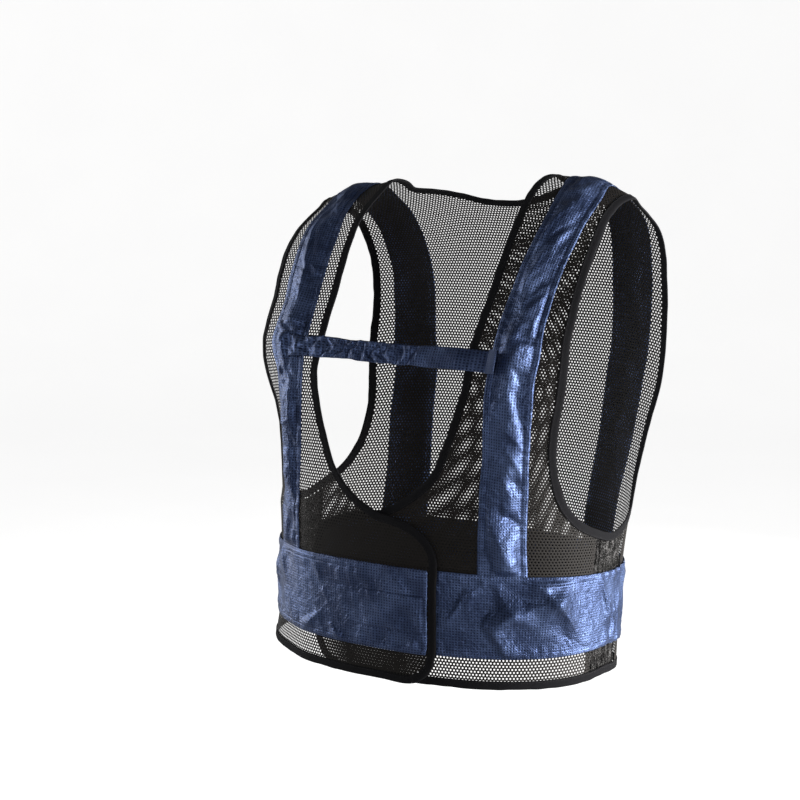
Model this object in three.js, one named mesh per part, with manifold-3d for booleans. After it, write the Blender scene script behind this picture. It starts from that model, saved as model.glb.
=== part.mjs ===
// A sleeveless cooling vest: net panels with air ducts over the shoulders and a wrap-over waist band.
// Millimetres, +Z up. The wearer faces -Y and the wearer's left is +X.
// The origin lies midway between the shoulder straps, level with the top of their crest.
import * as THREE from "three";
import { mergeVertices } from "three/addons/utils/BufferGeometryUtils.js";
import Module from "manifold-3d";

const wasm = await Module();
wasm.setup();

// Overall form
const halfWidth = 190;        // centre line to the side seam
const frontReach = 153;       // shoulder line to the fullest part of the front
const backReach = 110;        // shoulder line to the fullest part of the back
const height = 468;           // shoulder line to hem
const clothLength = 532;      // shoulder line to hem, measured along the cloth

// Cloth and trims
const netThickness = 1.0;
const netGapRadius = 5.5;     // corner radius of one six-sided gap of the net
const netPitch = 58;          // from one gap to the next across the cloth
const netRim = 1.5;           // cloth left whole between a gap and an edge
const tapeWidth = 8;
const tapeThickness = 2.4;
const bandThickness = 1.2;
const ductWidth = 49;
const ductThickness = 1.4;
const ductCrown = 5;          // how far a duct's middle stands above its sewn edges
const elasticThickness = 1.2;
const gatherDepth = 1.3;      // half the height of one gather of the side elastic
const gatherCount = 7;
const strapHeight = 20;
const strapThickness = 1.6;
const strapRuffle = 1.1;
const loopWidth = 8;
const loopThickness = 1.2;

// Flaps and clearances
const topFlapReach = 55;      // right front past the centre line, to its tape seam
const underFlapReach = 71;    // left front past the centre line, to its tape seam
const seamGap = 0.35;         // between two sewn pieces
const layerGap = 1.2;         // between the net and a piece that lies on it
const sewnGap = 0.48;         // between the net and the sewn edge of a duct
const sideSeamTurn = 77;      // degrees round from the centre front to the side elastic
const sideSeamTop = 0.72;     // share of the cloth length, where the armhole's seam meets the side seam
const bandTop = 0.79;         // share of the cloth length
const bandHeight = 81;
const hemSeam = 0.985;        // share of the cloth length, where the hem tape starts

// Sections of the vest, from the shoulder line down. Every value is a share:
// down of the cloth length, width of the half width, forward values of the front reach,
// sideBelow and the other below values of the height, out of the back reach.
const sectionColumns = [
  "down", "width", "sideForward", "sideBelow", "frontForward", "frontBelow", "backOut", "backBelow", "square",
];
const sections = [
  [0.00, 1.000, -0.026, 0.096, -0.026, -0.010, 0.036, -0.010, 2.5],
  [0.09, 1.010, -0.013, 0.158, 0.240, 0.025, 0.455, 0.026, 3.0],
  [0.19, 1.035, 0.000, 0.225, 0.515, 0.109, 0.764, 0.098, 4.0],
  [0.30, 1.035, 0.026, 0.320, 0.710, 0.222, 0.945, 0.214, 4.2],
  [0.43, 1.020, 0.052, 0.438, 0.930, 0.353, 1.000, 0.363, 3.5],
  [0.56, 0.985, 0.105, 0.558, 1.000, 0.500, 0.964, 0.513, 2.9],
  [0.68, 0.950, 0.157, 0.667, 0.995, 0.638, 0.890, 0.641, 2.5],
  [0.79, 0.940, 0.196, 0.774, 0.985, 0.765, 0.820, 0.769, 2.3],
  [0.90, 0.945, 0.222, 0.880, 0.975, 0.891, 0.764, 0.893, 2.25],
  [1.00, 0.945, 0.235, 0.982, 0.965, 1.000, 0.727, 1.000, 2.25],
];

// Tape seam of the neckline on one front: share of the cloth length, degrees from the centre line.
const neckSeam = [
  [0.00, 28.4], [0.08, 26.8], [0.16, 26.9], [0.24, 26.4], [0.32, 25.8], [0.40, 25.6], [0.47, 26.0],
  [0.53, 24.4], [0.58, 22.4], [0.63, 19.4], [0.66, 15.0], [0.685, 9.5], [0.703, 4.0], [0.713, 0.0],
];
// Tape seam of a flap below the neckline: share of the cloth length, share of the flap's reach.
const flapSeam = [
  [0.713, 0.00], [0.720, 0.38], [0.730, 0.66], [0.745, 0.87], [0.768, 1.00],
  [0.930, 1.00], [0.965, 0.93], [0.985, 0.68],
];
// Tape seam of the armhole, the same on front and back.
const armSeam = [
  [0.00, 57.0], [0.03, 54.8], [0.07, 51.0], [0.12, 47.8], [0.17, 45.9], [0.22, 44.8], [0.27, 44.1],
  [0.32, 44.3], [0.37, 45.1], [0.42, 46.6], [0.47, 47.6], [0.53, 48.2], [0.58, 49.8], [0.63, 53.0],
  [0.66, 56.4], [0.685, 61.0], [0.703, 66.5], [0.720, 77.0], [0.728, 90.0],
];
// How far the cloth beside an armhole stands off the body: share of the cloth length, share of the flare.
const armFlare = 6;
const flareRows = [[0.00, 0.0], [0.12, 0.4], [0.24, 0.9], [0.36, 1.0], [0.47, 0.9], [0.58, 0.4], [0.68, 0.0]];
const flareTurns = [37, 49];  // degrees, where the flare starts and is full

// Rows of cloth on a front panel, from the shoulder line to the hem seam.
const frontRows = [
  0.00, 0.03, 0.07, 0.12, 0.17, 0.22, 0.27, 0.32, 0.37, 0.42, 0.47, 0.53, 0.58, 0.63, 0.66, 0.685,
  0.703, 0.713, 0.720, 0.730, 0.745, 0.768, 0.820, 0.875, 0.930, 0.965, hemSeam,
];
const backRows = [
  0.00, 0.03, 0.07, 0.12, 0.17, 0.22, 0.27, 0.32, 0.37, 0.42, 0.47, 0.53, 0.58, 0.63, 0.66, 0.685,
  0.703, 0.720, 0.768, 0.820, 0.875, 0.930, hemSeam,
];
// Rows of gaps in the net, each between two rows of cloth.
const frontNetRows = [0.095, 0.195, 0.295, 0.395, 0.500, 0.605, 0.694, 0.757, 0.9635];
const backNetRows = [0.195, 0.295, 0.395, 0.500, 0.605, 0.744, 0.9635];

// How far the back neckline dips below its corner row, from the centre column to the strap.
const backNeckRow = 2;
const backNeckDip = [0.075, 0.071, 0.055, 0.030, 0.0];
const backNeckFade = [1.0, 0.62, 0.3, 0.1, 0.0];

// A duct's middle line and form: share of the cloth length, degrees from the centre line,
// share of the duct width, share of the crown.
const ductRows = [
  [0.00, 38.6, 1.00, 0.5], [0.07, 38.2, 1.00, 0.8], [0.12, 37.4, 0.98, 0.8], [0.17, 36.3, 1.00, 1.1],
  [0.22, 35.4, 1.00, 0.9], [0.27, 34.7, 0.98, 1.0], [0.32, 34.4, 0.98, 0.8], [0.37, 34.6, 1.02, 1.3],
  [0.42, 35.0, 1.04, 1.5], [0.47, 34.8, 0.92, 0.7], [0.53, 35.6, 0.93, 1.0], [0.58, 36.4, 0.92, 0.8],
  [0.63, 36.9, 0.94, 1.2], [0.685, 37.3, 0.95, 0.9], [0.73, 37.6, 0.95, 1.0], [0.785, 38.0, 0.95, 1.1],
];

// Folds of the waist band: degrees and share of the cloth length at the fold's middle,
// slant in degrees up from level, length, width and rise in millimetres.
const leftBandFolds = [
  [40, 0.825, -44, 60, 12, 3.0], [44, 0.880, 24, 90, 11, 3.4], [31, 0.905, 60, 46, 10, 2.2],
  [62, 0.865, 78, 90, 9, 2.0], [71, 0.865, 92, 90, 8, 2.6], [80, 0.865, 100, 90, 8, 2.2],
];
const rightBandFolds = [
  [40, 0.850, 70, 80, 10, 2.6], [20, 0.905, 30, 50, 10, 1.8], [52, 0.870, 96, 80, 9, 2.0],
];

const rowObjects = (columns, rows) => rows.map((row) => Object.fromEntries(
  columns.map((column, index) => [column, row[index]]),
));

// The value of a table of [position, value] rows, straight between its rows.
function lookUp(rows, position, column = 1) {
  if (position <= rows[0][0]) return rows[0][column];
  for (let i = 1; i < rows.length; i += 1) {
    if (position <= rows[i][0]) {
      const share = (position - rows[i - 1][0]) / (rows[i][0] - rows[i - 1][0]);
      return THREE.MathUtils.lerp(rows[i - 1][column], rows[i][column], share);
    }
  }
  return rows.at(-1)[column];
}

// Knots of the whole cloth, from the back hem over the shoulder to the front hem, in millimetres.
const knotFields = ["width", "sideY", "sideZ", "crestY", "crestZ", "square"];
const named = rowObjects(sectionColumns, sections);
const frontKnots = named.map((row) => ({
  down: row.down, width: row.width * halfWidth, square: row.square,
  sideY: -row.sideForward * frontReach, sideZ: -row.sideBelow * height,
  crestY: -row.frontForward * frontReach, crestZ: -row.frontBelow * height,
}));
const backKnots = named.slice(1).reverse().map((row) => ({
  down: -row.down, width: row.width * halfWidth, square: row.square,
  sideY: -row.sideForward * frontReach, sideZ: -row.sideBelow * height,
  crestY: row.backOut * backReach, crestZ: -row.backBelow * height,
}));
const knots = [...backKnots, ...frontKnots];

function knotSlope(index, field) {
  const before = knots[Math.max(index - 1, 0)];
  const after = knots[Math.min(index + 1, knots.length - 1)];
  return (after[field] - before[field]) / (after.down - before.down);
}

// The section at a share of the cloth length, positive on the front and negative on the back.
function sectionAt(down) {
  let index = knots.findIndex((knot) => knot.down > down) - 1;
  if (index < 0) index = down < 0 ? 0 : knots.length - 2;
  const [low, high] = [knots[index], knots[index + 1]];
  const span = high.down - low.down;
  const t = (down - low.down) / span;
  const start = 2 * t ** 3 - 3 * t ** 2 + 1;
  const leave = (t ** 3 - 2 * t ** 2 + t) * span;
  const arrive = (t ** 3 - t ** 2) * span;
  return Object.fromEntries(knotFields.map((field) => [field,
    start * low[field] + leave * knotSlope(index, field)
    + (1 - start) * high[field] + arrive * knotSlope(index + 1, field)]));
}

// A point of the cloth: turn in degrees from the centre line, which passes to the other half beyond 90.
function clothPoint(turn, down) {
  const past = Math.abs(turn) > 90;
  const angle = THREE.MathUtils.degToRad(past ? Math.sign(turn) * 180 - turn : turn);
  const section = sectionAt(past ? -down : down);
  const power = section.square;
  const radius = (Math.abs(Math.sin(angle)) ** power + Math.abs(Math.cos(angle)) ** power) ** (1 / power);
  const out = Math.cos(angle) / radius;
  return new THREE.Vector3(
    section.width * Math.sin(angle) / radius,
    THREE.MathUtils.lerp(section.sideY, section.crestY, out),
    THREE.MathUtils.lerp(section.sideZ, section.crestZ, out),
  );
}

const turnStep = 0.5;
const downStep = 0.003;

// How far the cloth stands off beside the armholes.
function flareAt(turn, down) {
  const fromCentre = Math.abs(turn) > 90 ? 180 - Math.abs(turn) : Math.abs(turn);
  return armFlare * lookUp(flareRows, Math.abs(down))
    * THREE.MathUtils.smoothstep(fromCentre, ...flareTurns);
}

function clothNormal(turn, down) {
  const across = clothPoint(turn + turnStep, down).sub(clothPoint(turn - turnStep, down));
  const along = clothPoint(turn, down + downStep).sub(clothPoint(turn, down - downStep));
  return along.cross(across).normalize();
}

const raised = (turn, down, lift) => clothPoint(turn, down)
  .addScaledVector(clothNormal(turn, down), lift + flareAt(turn, down));

// The turn that lies a distance sideways along the cloth.
function sideways(turn, down, distance) {
  const steps = 6;
  let place = turn;
  for (let i = 0; i < steps; i += 1) {
    const across = clothPoint(place + turnStep, down).distanceTo(clothPoint(place - turnStep, down));
    place += distance / steps / across * (2 * turnStep);
  }
  return place;
}

// The right front lies over the left one, so it stands off by the layers below it.
const flapStandOff = netThickness + layerGap + bandThickness + layerGap;
const overlapTurn = 27;            // degrees out to which it lies over in full
const overlapFade = 15;            // degrees in which it comes down beyond that
const overlapDown = [0.60, 0.69];  // share of the cloth length, where it starts and is full

function standOff(side, turn, down) {
  if (side > 0) return 0;
  const sidewaysShare = 1 - THREE.MathUtils.smoothstep(-turn, overlapTurn, overlapTurn + overlapFade);
  return flapStandOff * sidewaysShare * THREE.MathUtils.smoothstep(down, ...overlapDown);
}

// Turn of the neck and flap seam of one front, side 1 for the left and -1 for the right.
function frontSeam(side, down) {
  if (down <= neckSeam.at(-1)[0]) return side * lookUp(neckSeam, down);
  const reach = side > 0 ? underFlapReach : topFlapReach;
  return sideways(0, down, -side * reach * lookUp(flapSeam, down));
}

// The outer edge of a front or back panel: the armhole's seam, then the side seam.
function outerSeam(down) {
  if (down > sideSeamTop) return sideSeamTurn;
  return Math.min(lookUp(armSeam, down), sideSeamTurn);
}

function finish(positions, indices) {
  const geometry = new THREE.BufferGeometry();
  geometry.setAttribute("position", new THREE.Float32BufferAttribute(positions, 3));
  geometry.setIndex(indices);
  return geometry;
}

// A sheet of cloth from a grid of rows: inner and outer are two points of each place,
// and used says which cells of the grid are cloth. The open edges are closed all round.
function sheet(rowCount, columnCount, pointsAt, used = () => true) {
  const positions = [];
  const indices = [];
  const index = (row, column, layer) => ((row * columnCount) + column) * 2 + layer;
  for (let row = 0; row < rowCount; row += 1) {
    for (let column = 0; column < columnCount; column += 1) {
      const [inner, outer] = pointsAt(row, column);
      positions.push(...inner.toArray(), ...outer.toArray());
    }
  }
  const isCell = (row, column) => row >= 0 && column >= 0 && row < rowCount - 1
    && column < columnCount - 1 && used(row, column);
  for (let row = 0; row < rowCount - 1; row += 1) {
    for (let column = 0; column < columnCount - 1; column += 1) {
      if (!isCell(row, column)) continue;
      const corners = [[row, column], [row + 1, column], [row + 1, column + 1], [row, column + 1]];
      const [a, b, c, d] = corners.map(([r, k]) => index(r, k, 1));
      const [e, f, g, h] = corners.map(([r, k]) => index(r, k, 0));
      indices.push(a, b, c, a, c, d, e, g, f, e, h, g);
      const neighbours = [[row, column - 1], [row + 1, column], [row, column + 1], [row - 1, column]];
      neighbours.forEach(([r, k], edge) => {
        if (isCell(r, k)) return;
        const [from, to] = [corners[edge], corners[(edge + 1) % 4]];
        const [p, q] = [index(...from, 1), index(...to, 1)];
        const [s, t] = [index(...from, 0), index(...to, 0)];
        indices.push(p, s, q, q, s, t);
      });
    }
  }
  return turnedOut(compact(positions, indices));
}

// Drops the places that no triangle uses.
function compact(positions, indices) {
  const kept = new Map();
  const points = [];
  const renumbered = indices.map((old) => {
    if (!kept.has(old)) {
      kept.set(old, kept.size);
      points.push(...positions.slice(old * 3, old * 3 + 3));
    }
    return kept.get(old);
  });
  return finish(points, renumbered);
}

// Turns every face over if the faces point inwards.
function turnedOut(geometry) {
  const place = geometry.attributes.position;
  const list = geometry.index.array;
  const corner = (i) => new THREE.Vector3().fromBufferAttribute(place, list[i]);
  let volume = 0;
  for (let i = 0; i < list.length; i += 3) volume += corner(i).dot(corner(i + 1).cross(corner(i + 2)));
  if (volume < 0) {
    for (let i = 0; i < list.length; i += 3) [list[i + 1], list[i + 2]] = [list[i + 2], list[i + 1]];
  }
  return geometry;
}

function toSolid(geometry) {
  const bare = new THREE.BufferGeometry();
  bare.setAttribute("position", geometry.attributes.position);
  bare.setIndex(geometry.index);
  const merged = mergeVertices(bare, 1e-4);
  return new wasm.Manifold(new wasm.Mesh({
    numProp: 3,
    vertProperties: new Float32Array(merged.attributes.position.array),
    triVerts: new Uint32Array(merged.index.array),
  }));
}

function toGeometry(solid) {
  const mesh = solid.getMesh();
  return finish(Array.from(mesh.vertProperties), Array.from(mesh.triVerts));
}

// One six-sided gap through the net at a place of the cloth.
function netGap(turn, down, lift) {
  const through = 14;
  const hexagon = new THREE.CylinderGeometry(netGapRadius, netGapRadius, through, 6);
  hexagon.deleteAttribute("normal");
  hexagon.deleteAttribute("uv");
  const upright = new THREE.Quaternion().setFromUnitVectors(
    new THREE.Vector3(0, 1, 0), clothNormal(turn, down),
  );
  hexagon.applyQuaternion(upright);
  const place = raised(turn, down, lift);
  return toSolid(hexagon.translate(place.x, place.y, place.z));
}

// The stretches of net that show between the edges of a panel: a duct hides what it lies on.
function openSpans(start, end, down) {
  const half = ductWidth / 2 * lookUp(ductRows, down, 2);
  const middle = lookUp(ductRows, down, 1);
  const duct = [sideways(middle, down, -half), sideways(middle, down, half)];
  const cuts = down > bandTop ? [] : [duct.map((turn) => -turn).reverse(), duct];
  const bounds = [start, ...cuts.flat().filter((turn) => turn > start && turn < end), end];
  const spans = [];
  for (let i = 0; i + 1 < bounds.length; i += 2) spans.push([bounds[i], bounds[i + 1]]);
  return spans;
}

// Width of the cloth between two turns.
function clothWidth(from, to, down) {
  const steps = 6;
  let width = 0;
  for (let i = 0; i < steps; i += 1) {
    const [a, b] = [i, i + 1].map((step) => THREE.MathUtils.lerp(from, to, step / steps));
    width += clothPoint(a, down).distanceTo(clothPoint(b, down));
  }
  return width;
}

// Gaps evenly spread over the open net, in staggered rows down a panel.
function netGaps({ half, rows, edges, lift = () => 0 }) {
  const clear = netGapRadius + netRim;
  return rows.flatMap((down, row) => {
    const [start, end] = edges(down);
    return openSpans(start, end, down).flatMap(([from, to]) => {
      const room = clothWidth(from, to, down) - 2 * clear;
      if (room < -netRim) return [];
      const fitting = Math.floor(Math.max(room, 0) / netPitch) + 1;
      const count = fitting > 1 && row % 2 ? fitting - 1 : fitting;
      return Array.from({ length: count }, (_, i) => {
        const turn = sideways((from + to) / 2, down, (i - (count - 1) / 2) * netPitch);
        return netGap(turn, half * down, lift(turn, down));
      });
    });
  });
}

function pierce(geometry, gaps) {
  return toGeometry(toSolid(geometry).subtract(wasm.Manifold.union(gaps)));
}

const frontColumns = 8;

function frontPanel(side) {
  const place = (row, column) => {
    const down = Math.max(frontRows[row], seamGap / 2 / clothLength);
    const share = column / (frontColumns - 1);
    const turn = THREE.MathUtils.lerp(frontSeam(side, down), side * outerSeam(down), share);
    const lift = standOff(side, turn, down);
    return [raised(turn, down, lift), raised(turn, down, lift + netThickness)];
  };
  const panel = sheet(frontRows.length, frontColumns, place);
  const ordered = (down) => [frontSeam(side, down), side * outerSeam(down)].sort((a, b) => a - b);
  const lift = (turn, down) => standOff(side, turn, down);
  return pierce(panel, netGaps({ half: 1, rows: frontNetRows, edges: ordered, lift }));
}

const backColumns = 15;
const backStrapColumns = 3;
const backCornerTurn = 26;    // degrees out to the back's middle columns at the hem

// Turn and share of the length of one place of the back panel.
function backPlace(row, column) {
  const middle = (backColumns - 1) / 2;
  const neckColumn = middle - backStrapColumns;
  const fromCentre = Math.abs(column - middle);
  const side = Math.sign(column - middle);
  const rowDown = Math.max(backRows[row], seamGap / 2 / clothLength);
  const fade = row < backNeckRow ? 0 : backNeckFade[row - backNeckRow] ?? 0;
  const dip = fade * (backNeckDip[fromCentre] ?? 0);
  const down = rowDown + dip;
  const neck = THREE.MathUtils.lerp(lookUp(neckSeam, rowDown), backCornerTurn, rowDown);
  const outer = outerSeam(rowDown);
  const turn = fromCentre <= neckColumn
    ? neck * fromCentre / neckColumn
    : THREE.MathUtils.lerp(neck, outer, (fromCentre - neckColumn) / backStrapColumns);
  return { turn: side * turn, down };
}

function backPanel() {
  const middle = (backColumns - 1) / 2;
  const neckColumn = middle - backStrapColumns;
  const place = (row, column) => {
    const { turn, down } = backPlace(row, column);
    return [raised(turn, -down, 0), raised(turn, -down, netThickness)];
  };
  const used = (row, column) => row >= backNeckRow || Math.abs(column + 0.5 - middle) > neckColumn;
  const panel = sheet(backRows.length, backColumns, place, used);
  const edges = (down) => [-outerSeam(down), outerSeam(down)];
  return pierce(panel, netGaps({ half: -1, rows: backNetRows, edges }));
}

const elasticDown = 0.8;      // share of the cloth length, where the elastic's width is taken

// The gathered elastic between a front panel and the back panel, below the armhole.
function sideElastic(side) {
  const columnsPerGather = 2;
  const columnCount = gatherCount * columnsPerGather + 1;
  const rowShares = [0, 0.3, 0.62, 1];
  const inset = seamGap / 2;
  const start = sideways(sideSeamTurn, elasticDown, inset);
  const end = 180 - start;
  const topOf = (turn) => {
    const folded = turn > 90 ? 180 - turn : turn;
    const table = armSeam.map(([down, edge]) => [edge, down]).slice(-2);
    return lookUp(table, folded) + seamGap / clothLength;
  };
  return sheet(rowShares.length, columnCount, (row, column) => {
    const turn = THREE.MathUtils.lerp(start, end, column / (columnCount - 1));
    const down = THREE.MathUtils.lerp(topOf(turn), hemSeam, rowShares[row]);
    const gather = gatherDepth * (column % columnsPerGather === 0 ? -1 : 1);
    const lift = gather - gatherDepth;
    const outer = raised(side * turn, down, lift + netThickness);
    return [raised(side * turn, down, lift + netThickness - elasticThickness), outer];
  });
}

const sharpestBend = 0.7;     // cosine of half a corner, the sharpest round which a tape keeps its width

// Places along a tape's seam, each with the directions along, away from the panel and out of the cloth.
function tapeFrames(places, away, closed) {
  const points = places.map(({ turn, down, lift = 0 }) => raised(turn, down, lift));
  const count = points.length;
  return places.map(({ turn, down }, index) => {
    const before = points[closed ? (index + count - 1) % count : Math.max(index - 1, 0)];
    const after = points[closed ? (index + 1) % count : Math.min(index + 1, count - 1)];
    const here = points[index];
    const arriving = here.clone().sub(before).normalize();
    const leaving = after.clone().sub(here).normalize();
    const along = arriving.clone().add(leaving).normalize();
    const normal = clothNormal(turn, down);
    const outward = along.clone().cross(normal).normalize().multiplyScalar(away);
    const bend = Math.max(Math.cos(arriving.angleTo(leaving) / 2), sharpestBend);
    return { point: here, along, normal, outward, stretch: 1 / bend };
  });
}

// A folded tape along a run of frames, its section a flat box standing over both faces of the net.
function tape(frames, closed) {
  const low = (netThickness - tapeThickness) / 2;
  const section = [[seamGap, low], [tapeWidth, low], [tapeWidth, low + tapeThickness],
    [seamGap, low + tapeThickness]];
  const positions = [];
  const indices = [];
  frames.forEach(({ point, normal, outward, stretch }) => {
    section.forEach(([out, up]) => {
      const corner = point.clone().addScaledVector(outward, out * stretch).addScaledVector(normal, up);
      positions.push(...corner.toArray());
    });
  });
  const sides = section.length;
  const rings = frames.length;
  for (let ring = 0; ring < (closed ? rings : rings - 1); ring += 1) {
    const next = (ring + 1) % rings;
    for (let i = 0; i < sides; i += 1) {
      const j = (i + 1) % sides;
      const [a, b] = [ring * sides + i, ring * sides + j];
      const [c, d] = [next * sides + j, next * sides + i];
      indices.push(a, b, c, a, c, d);
    }
  }
  if (!closed) {
    const end = (rings - 1) * sides;
    indices.push(0, 2, 1, 0, 3, 2, end, end + 1, end + 2, end, end + 2, end + 3);
  }
  return turnedOut(finish(positions, indices));
}

// The armhole's tape: down the front seam, under the arm and up the back seam.
function armholeTape(side) {
  const front = armSeam.map(([down, turn]) => ({ turn: side * turn, down }));
  const back = armSeam.slice(1, -1).reverse().map(([down, turn]) => ({ turn: side * turn, down: -down }));
  return tape(tapeFrames([...front, ...back], -side, true), true);
}

// The edge of both fronts and the back: from the right flap's corner up round the neck
// to the left flap's corner, and back along the hem.
function edgePlaces() {
  const front = (side) => frontRows.map((down) => {
    const turn = frontSeam(side, down);
    return { turn, down, lift: standOff(side, turn, down) };
  });
  const middle = (backColumns - 1) / 2;
  const neckColumn = middle - backStrapColumns;
  const backNeck = [];
  for (let row = 1; row < backNeckRow; row += 1) backNeck.push(backPlace(row, middle - neckColumn));
  for (let column = -neckColumn; column <= neckColumn; column += 1) {
    backNeck.push(backPlace(backNeckRow, middle + column));
  }
  for (let row = backNeckRow - 1; row > 0; row -= 1) backNeck.push(backPlace(row, middle + neckColumn));
  const neck = [
    ...front(-1).reverse(),
    ...backNeck.map(({ turn, down }) => ({ turn, down: -down })),
    ...front(1),
  ];
  const hemTurns = [];
  const [first, last] = [frontSeam(1, hemSeam), 360 + frontSeam(-1, hemSeam)];
  const hemSteps = 36;
  for (let i = 1; i < hemSteps; i += 1) hemTurns.push(THREE.MathUtils.lerp(first, last, i / hemSteps));
  const hem = hemTurns.map((around) => {
    const turn = around > 180 ? around - 360 : around;
    const side = around > 180 ? -1 : 1;
    return { turn, down: hemSeam, lift: standOff(side, turn, hemSeam) };
  });
  return { neck, hem };
}

function edgeTapes() {
  const { neck, hem } = edgePlaces();
  const frames = tapeFrames([...neck, ...hem], 1, true);
  const pulledIn = (frame, distance) => ({
    ...frame, point: frame.point.clone().addScaledVector(frame.along, distance),
  });
  const half = seamGap / 2;
  const neckFrames = frames.slice(0, neck.length);
  const hemFrames = [frames[neck.length - 1], ...frames.slice(neck.length), frames[0]];
  const ends = (list) => [
    pulledIn(list[0], half), ...list.slice(1, -1), pulledIn(list.at(-1), -half),
  ];
  return { neckTape: tape(ends(neckFrames), false), hemTape: tape(ends(hemFrames), false) };
}

const ductBase = netThickness + sewnGap;
const crownFullness = 0.8;    // below 1 a duct's section is fuller than a parabola

// How far a duct stands off the cloth at a share across it, from -1 to 1.
const ductLift = (down, across) => ductBase
  + ductCrown * lookUp(ductRows, Math.abs(down), 3) * (1 - across ** 2) ** crownFullness;

function ductTurn(down, across) {
  const position = Math.abs(down);
  return sideways(lookUp(ductRows, position, 1), down,
    across * ductWidth / 2 * lookUp(ductRows, position, 2));
}

// A puffed duct from the front band over the shoulder to the back band, open towards the net.
function shoulderDuct(side) {
  const end = bandTop - seamGap / clothLength;
  const half = [...frontRows.filter((down) => down < end - 0.01), end];
  const downs = [...half.slice(1).reverse().map((down) => -down), ...half];
  const acrossSteps = [-1, -0.6, 0, 0.6, 1];
  return sheet(downs.length, acrossSteps.length, (row, column) => {
    const down = downs[row];
    const across = acrossSteps[column];
    const turn = side * ductTurn(down, across);
    const lift = ductLift(down, across) + standOff(side, turn, down);
    return [raised(turn, down, lift), raised(turn, down, lift + ductThickness)];
  });
}

const bandRadiusShare = 0.93; // radius of the band's front, share of the half width

// The height of the folds at a place of the band.
function foldLift(folds, turn, down) {
  return folds.reduce((sum, [foldTurn, foldDown, slant, long, wide, rise]) => {
    const across = THREE.MathUtils.degToRad(turn - foldTurn) * halfWidth * bandRadiusShare;
    const up = (foldDown - down) * clothLength;
    const angle = THREE.MathUtils.degToRad(slant);
    const run = (across * Math.cos(angle) + up * Math.sin(angle)) / (long / 2);
    const off = (-across * Math.sin(angle) + up * Math.cos(angle)) / (wide / 2);
    return sum + rise * Math.exp(-(run ** 2) - off ** 2);
  }, 0);
}

const bandLift = netThickness + layerGap;
const bandSideTurn = 96;
const bandRowShares = [0, 0.26, 0.5, 0.76, 1];

// One front half of the waist band, over the net, the duct's end and the side elastic.
function frontBand(side) {
  const columnCount = 17;
  const folds = side > 0 ? leftBandFolds : rightBandFolds;
  return sheet(bandRowShares.length, columnCount, (row, column) => {
    const down = bandTop + bandRowShares[row] * bandHeight / clothLength;
    const start = sideways(frontSeam(side, down), down, side * seamGap);
    const turn = THREE.MathUtils.lerp(start, side * bandSideTurn, column / (columnCount - 1));
    const lift = bandLift + standOff(side, turn, down) + foldLift(folds, side * turn, down);
    return [raised(turn, down, lift), raised(turn, down, lift + bandThickness)];
  });
}

function backBand() {
  const columnCount = 15;
  const start = sideways(180 - bandSideTurn, -bandTop, -seamGap);
  const shares = [0, 0.5, 1];
  return sheet(shares.length, columnCount, (row, column) => {
    const down = bandTop + shares[row] * bandHeight / clothLength;
    const turn = THREE.MathUtils.lerp(-start, start, column / (columnCount - 1));
    return [raised(turn, -down, bandLift), raised(turn, -down, bandLift + bandThickness)];
  });
}

const strapDown = 0.423;      // middle of the chest strap, share of the cloth length
const strapFreeTurn = 21.5;   // where the strap leaves the fronts and spans the neckline
const strapFreeReach = 0.72;  // share of the strap's half length up to there
const strapLeftEnd = -0.7;    // where it ends on the left duct, share of the duct's half width
const strapRightEnd = -0.25;  // where it ends on the right one

// A place of the chest strap. The station runs from -1 on the right duct to 1 on the left one.
function strapPoint(station, heightShare, lift) {
  const side = Math.sign(station) || 1;
  const down = strapDown + (0.5 - heightShare) * strapHeight / clothLength;
  const endAcross = side > 0 ? strapLeftEnd : strapRightEnd;
  const endTurn = ductTurn(down, endAcross);
  const ductEdge = ductTurn(down, -1);
  const clear = ductThickness + layerGap;
  const standing = (turn) => {
    const across = THREE.MathUtils.mapLinear(Math.max(turn, ductEdge), ductEdge, endTurn, -1, endAcross);
    return clear + ductLift(down, across) + lift;
  };
  const reach = Math.abs(station);
  const onFront = (place) => {
    const turn = THREE.MathUtils.mapLinear(place, strapFreeReach, 1, strapFreeTurn, endTurn);
    return [turn, standing(turn)];
  };
  if (reach > strapFreeReach) {
    const [turn, height] = onFront(reach);
    return raised(side * turn, down, height);
  }
  const edge = (end) => raised(end * strapFreeTurn, down, standing(strapFreeTurn));
  return edge(-1).lerp(edge(1), (side * reach / strapFreeReach + 1) / 2);
}

const strapHeights = [0, 0.33, 0.67, 1];
// The loop is flush with the strap's left end.
const strapOnFront = strapPoint(1, 0.5, 0).distanceTo(strapPoint(strapFreeReach, 0.5, 0));
const loopHalf = loopWidth / 2 * (1 - strapFreeReach) / strapOnFront;
const loopStations = [1 - 2 * loopHalf, 1 - loopHalf, 1];
const strapStations = [
  -1, -0.91, -0.82, -0.72, -0.65, -0.58, -0.51, -0.44, -0.37, -0.3, -0.22, -0.1, 0.1, 0.4,
  strapFreeReach, ...loopStations,
];
const gatheredFrom = -0.7;
const gatheredTo = -0.2;

function chestStrap() {
  return sheet(strapHeights.length, strapStations.length, (row, column) => {
    const station = strapStations[column];
    const gathered = station > gatheredFrom && station < gatheredTo;
    const ruffle = gathered ? strapRuffle * (column % 2 ? 1 : 0) * (row % 2 ? 1 : 0.6) : 0;
    return [strapPoint(station, strapHeights[row], ruffle),
      strapPoint(station, strapHeights[row], ruffle + strapThickness)];
  });
}

const loopOver = 0.04;        // how far the loop passes the strap's edges, share of the strap's height

// The sewn loop that holds the strap's left end to the duct.
function strapLoop() {
  const lift = strapThickness + seamGap;
  const heights = [-loopOver, 0.5, 1 + loopOver];
  return sheet(heights.length, loopStations.length, (row, column) => [
    strapPoint(loopStations[column], heights[row], lift),
    strapPoint(loopStations[column], heights[row], lift + loopThickness),
  ]);
}

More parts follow.
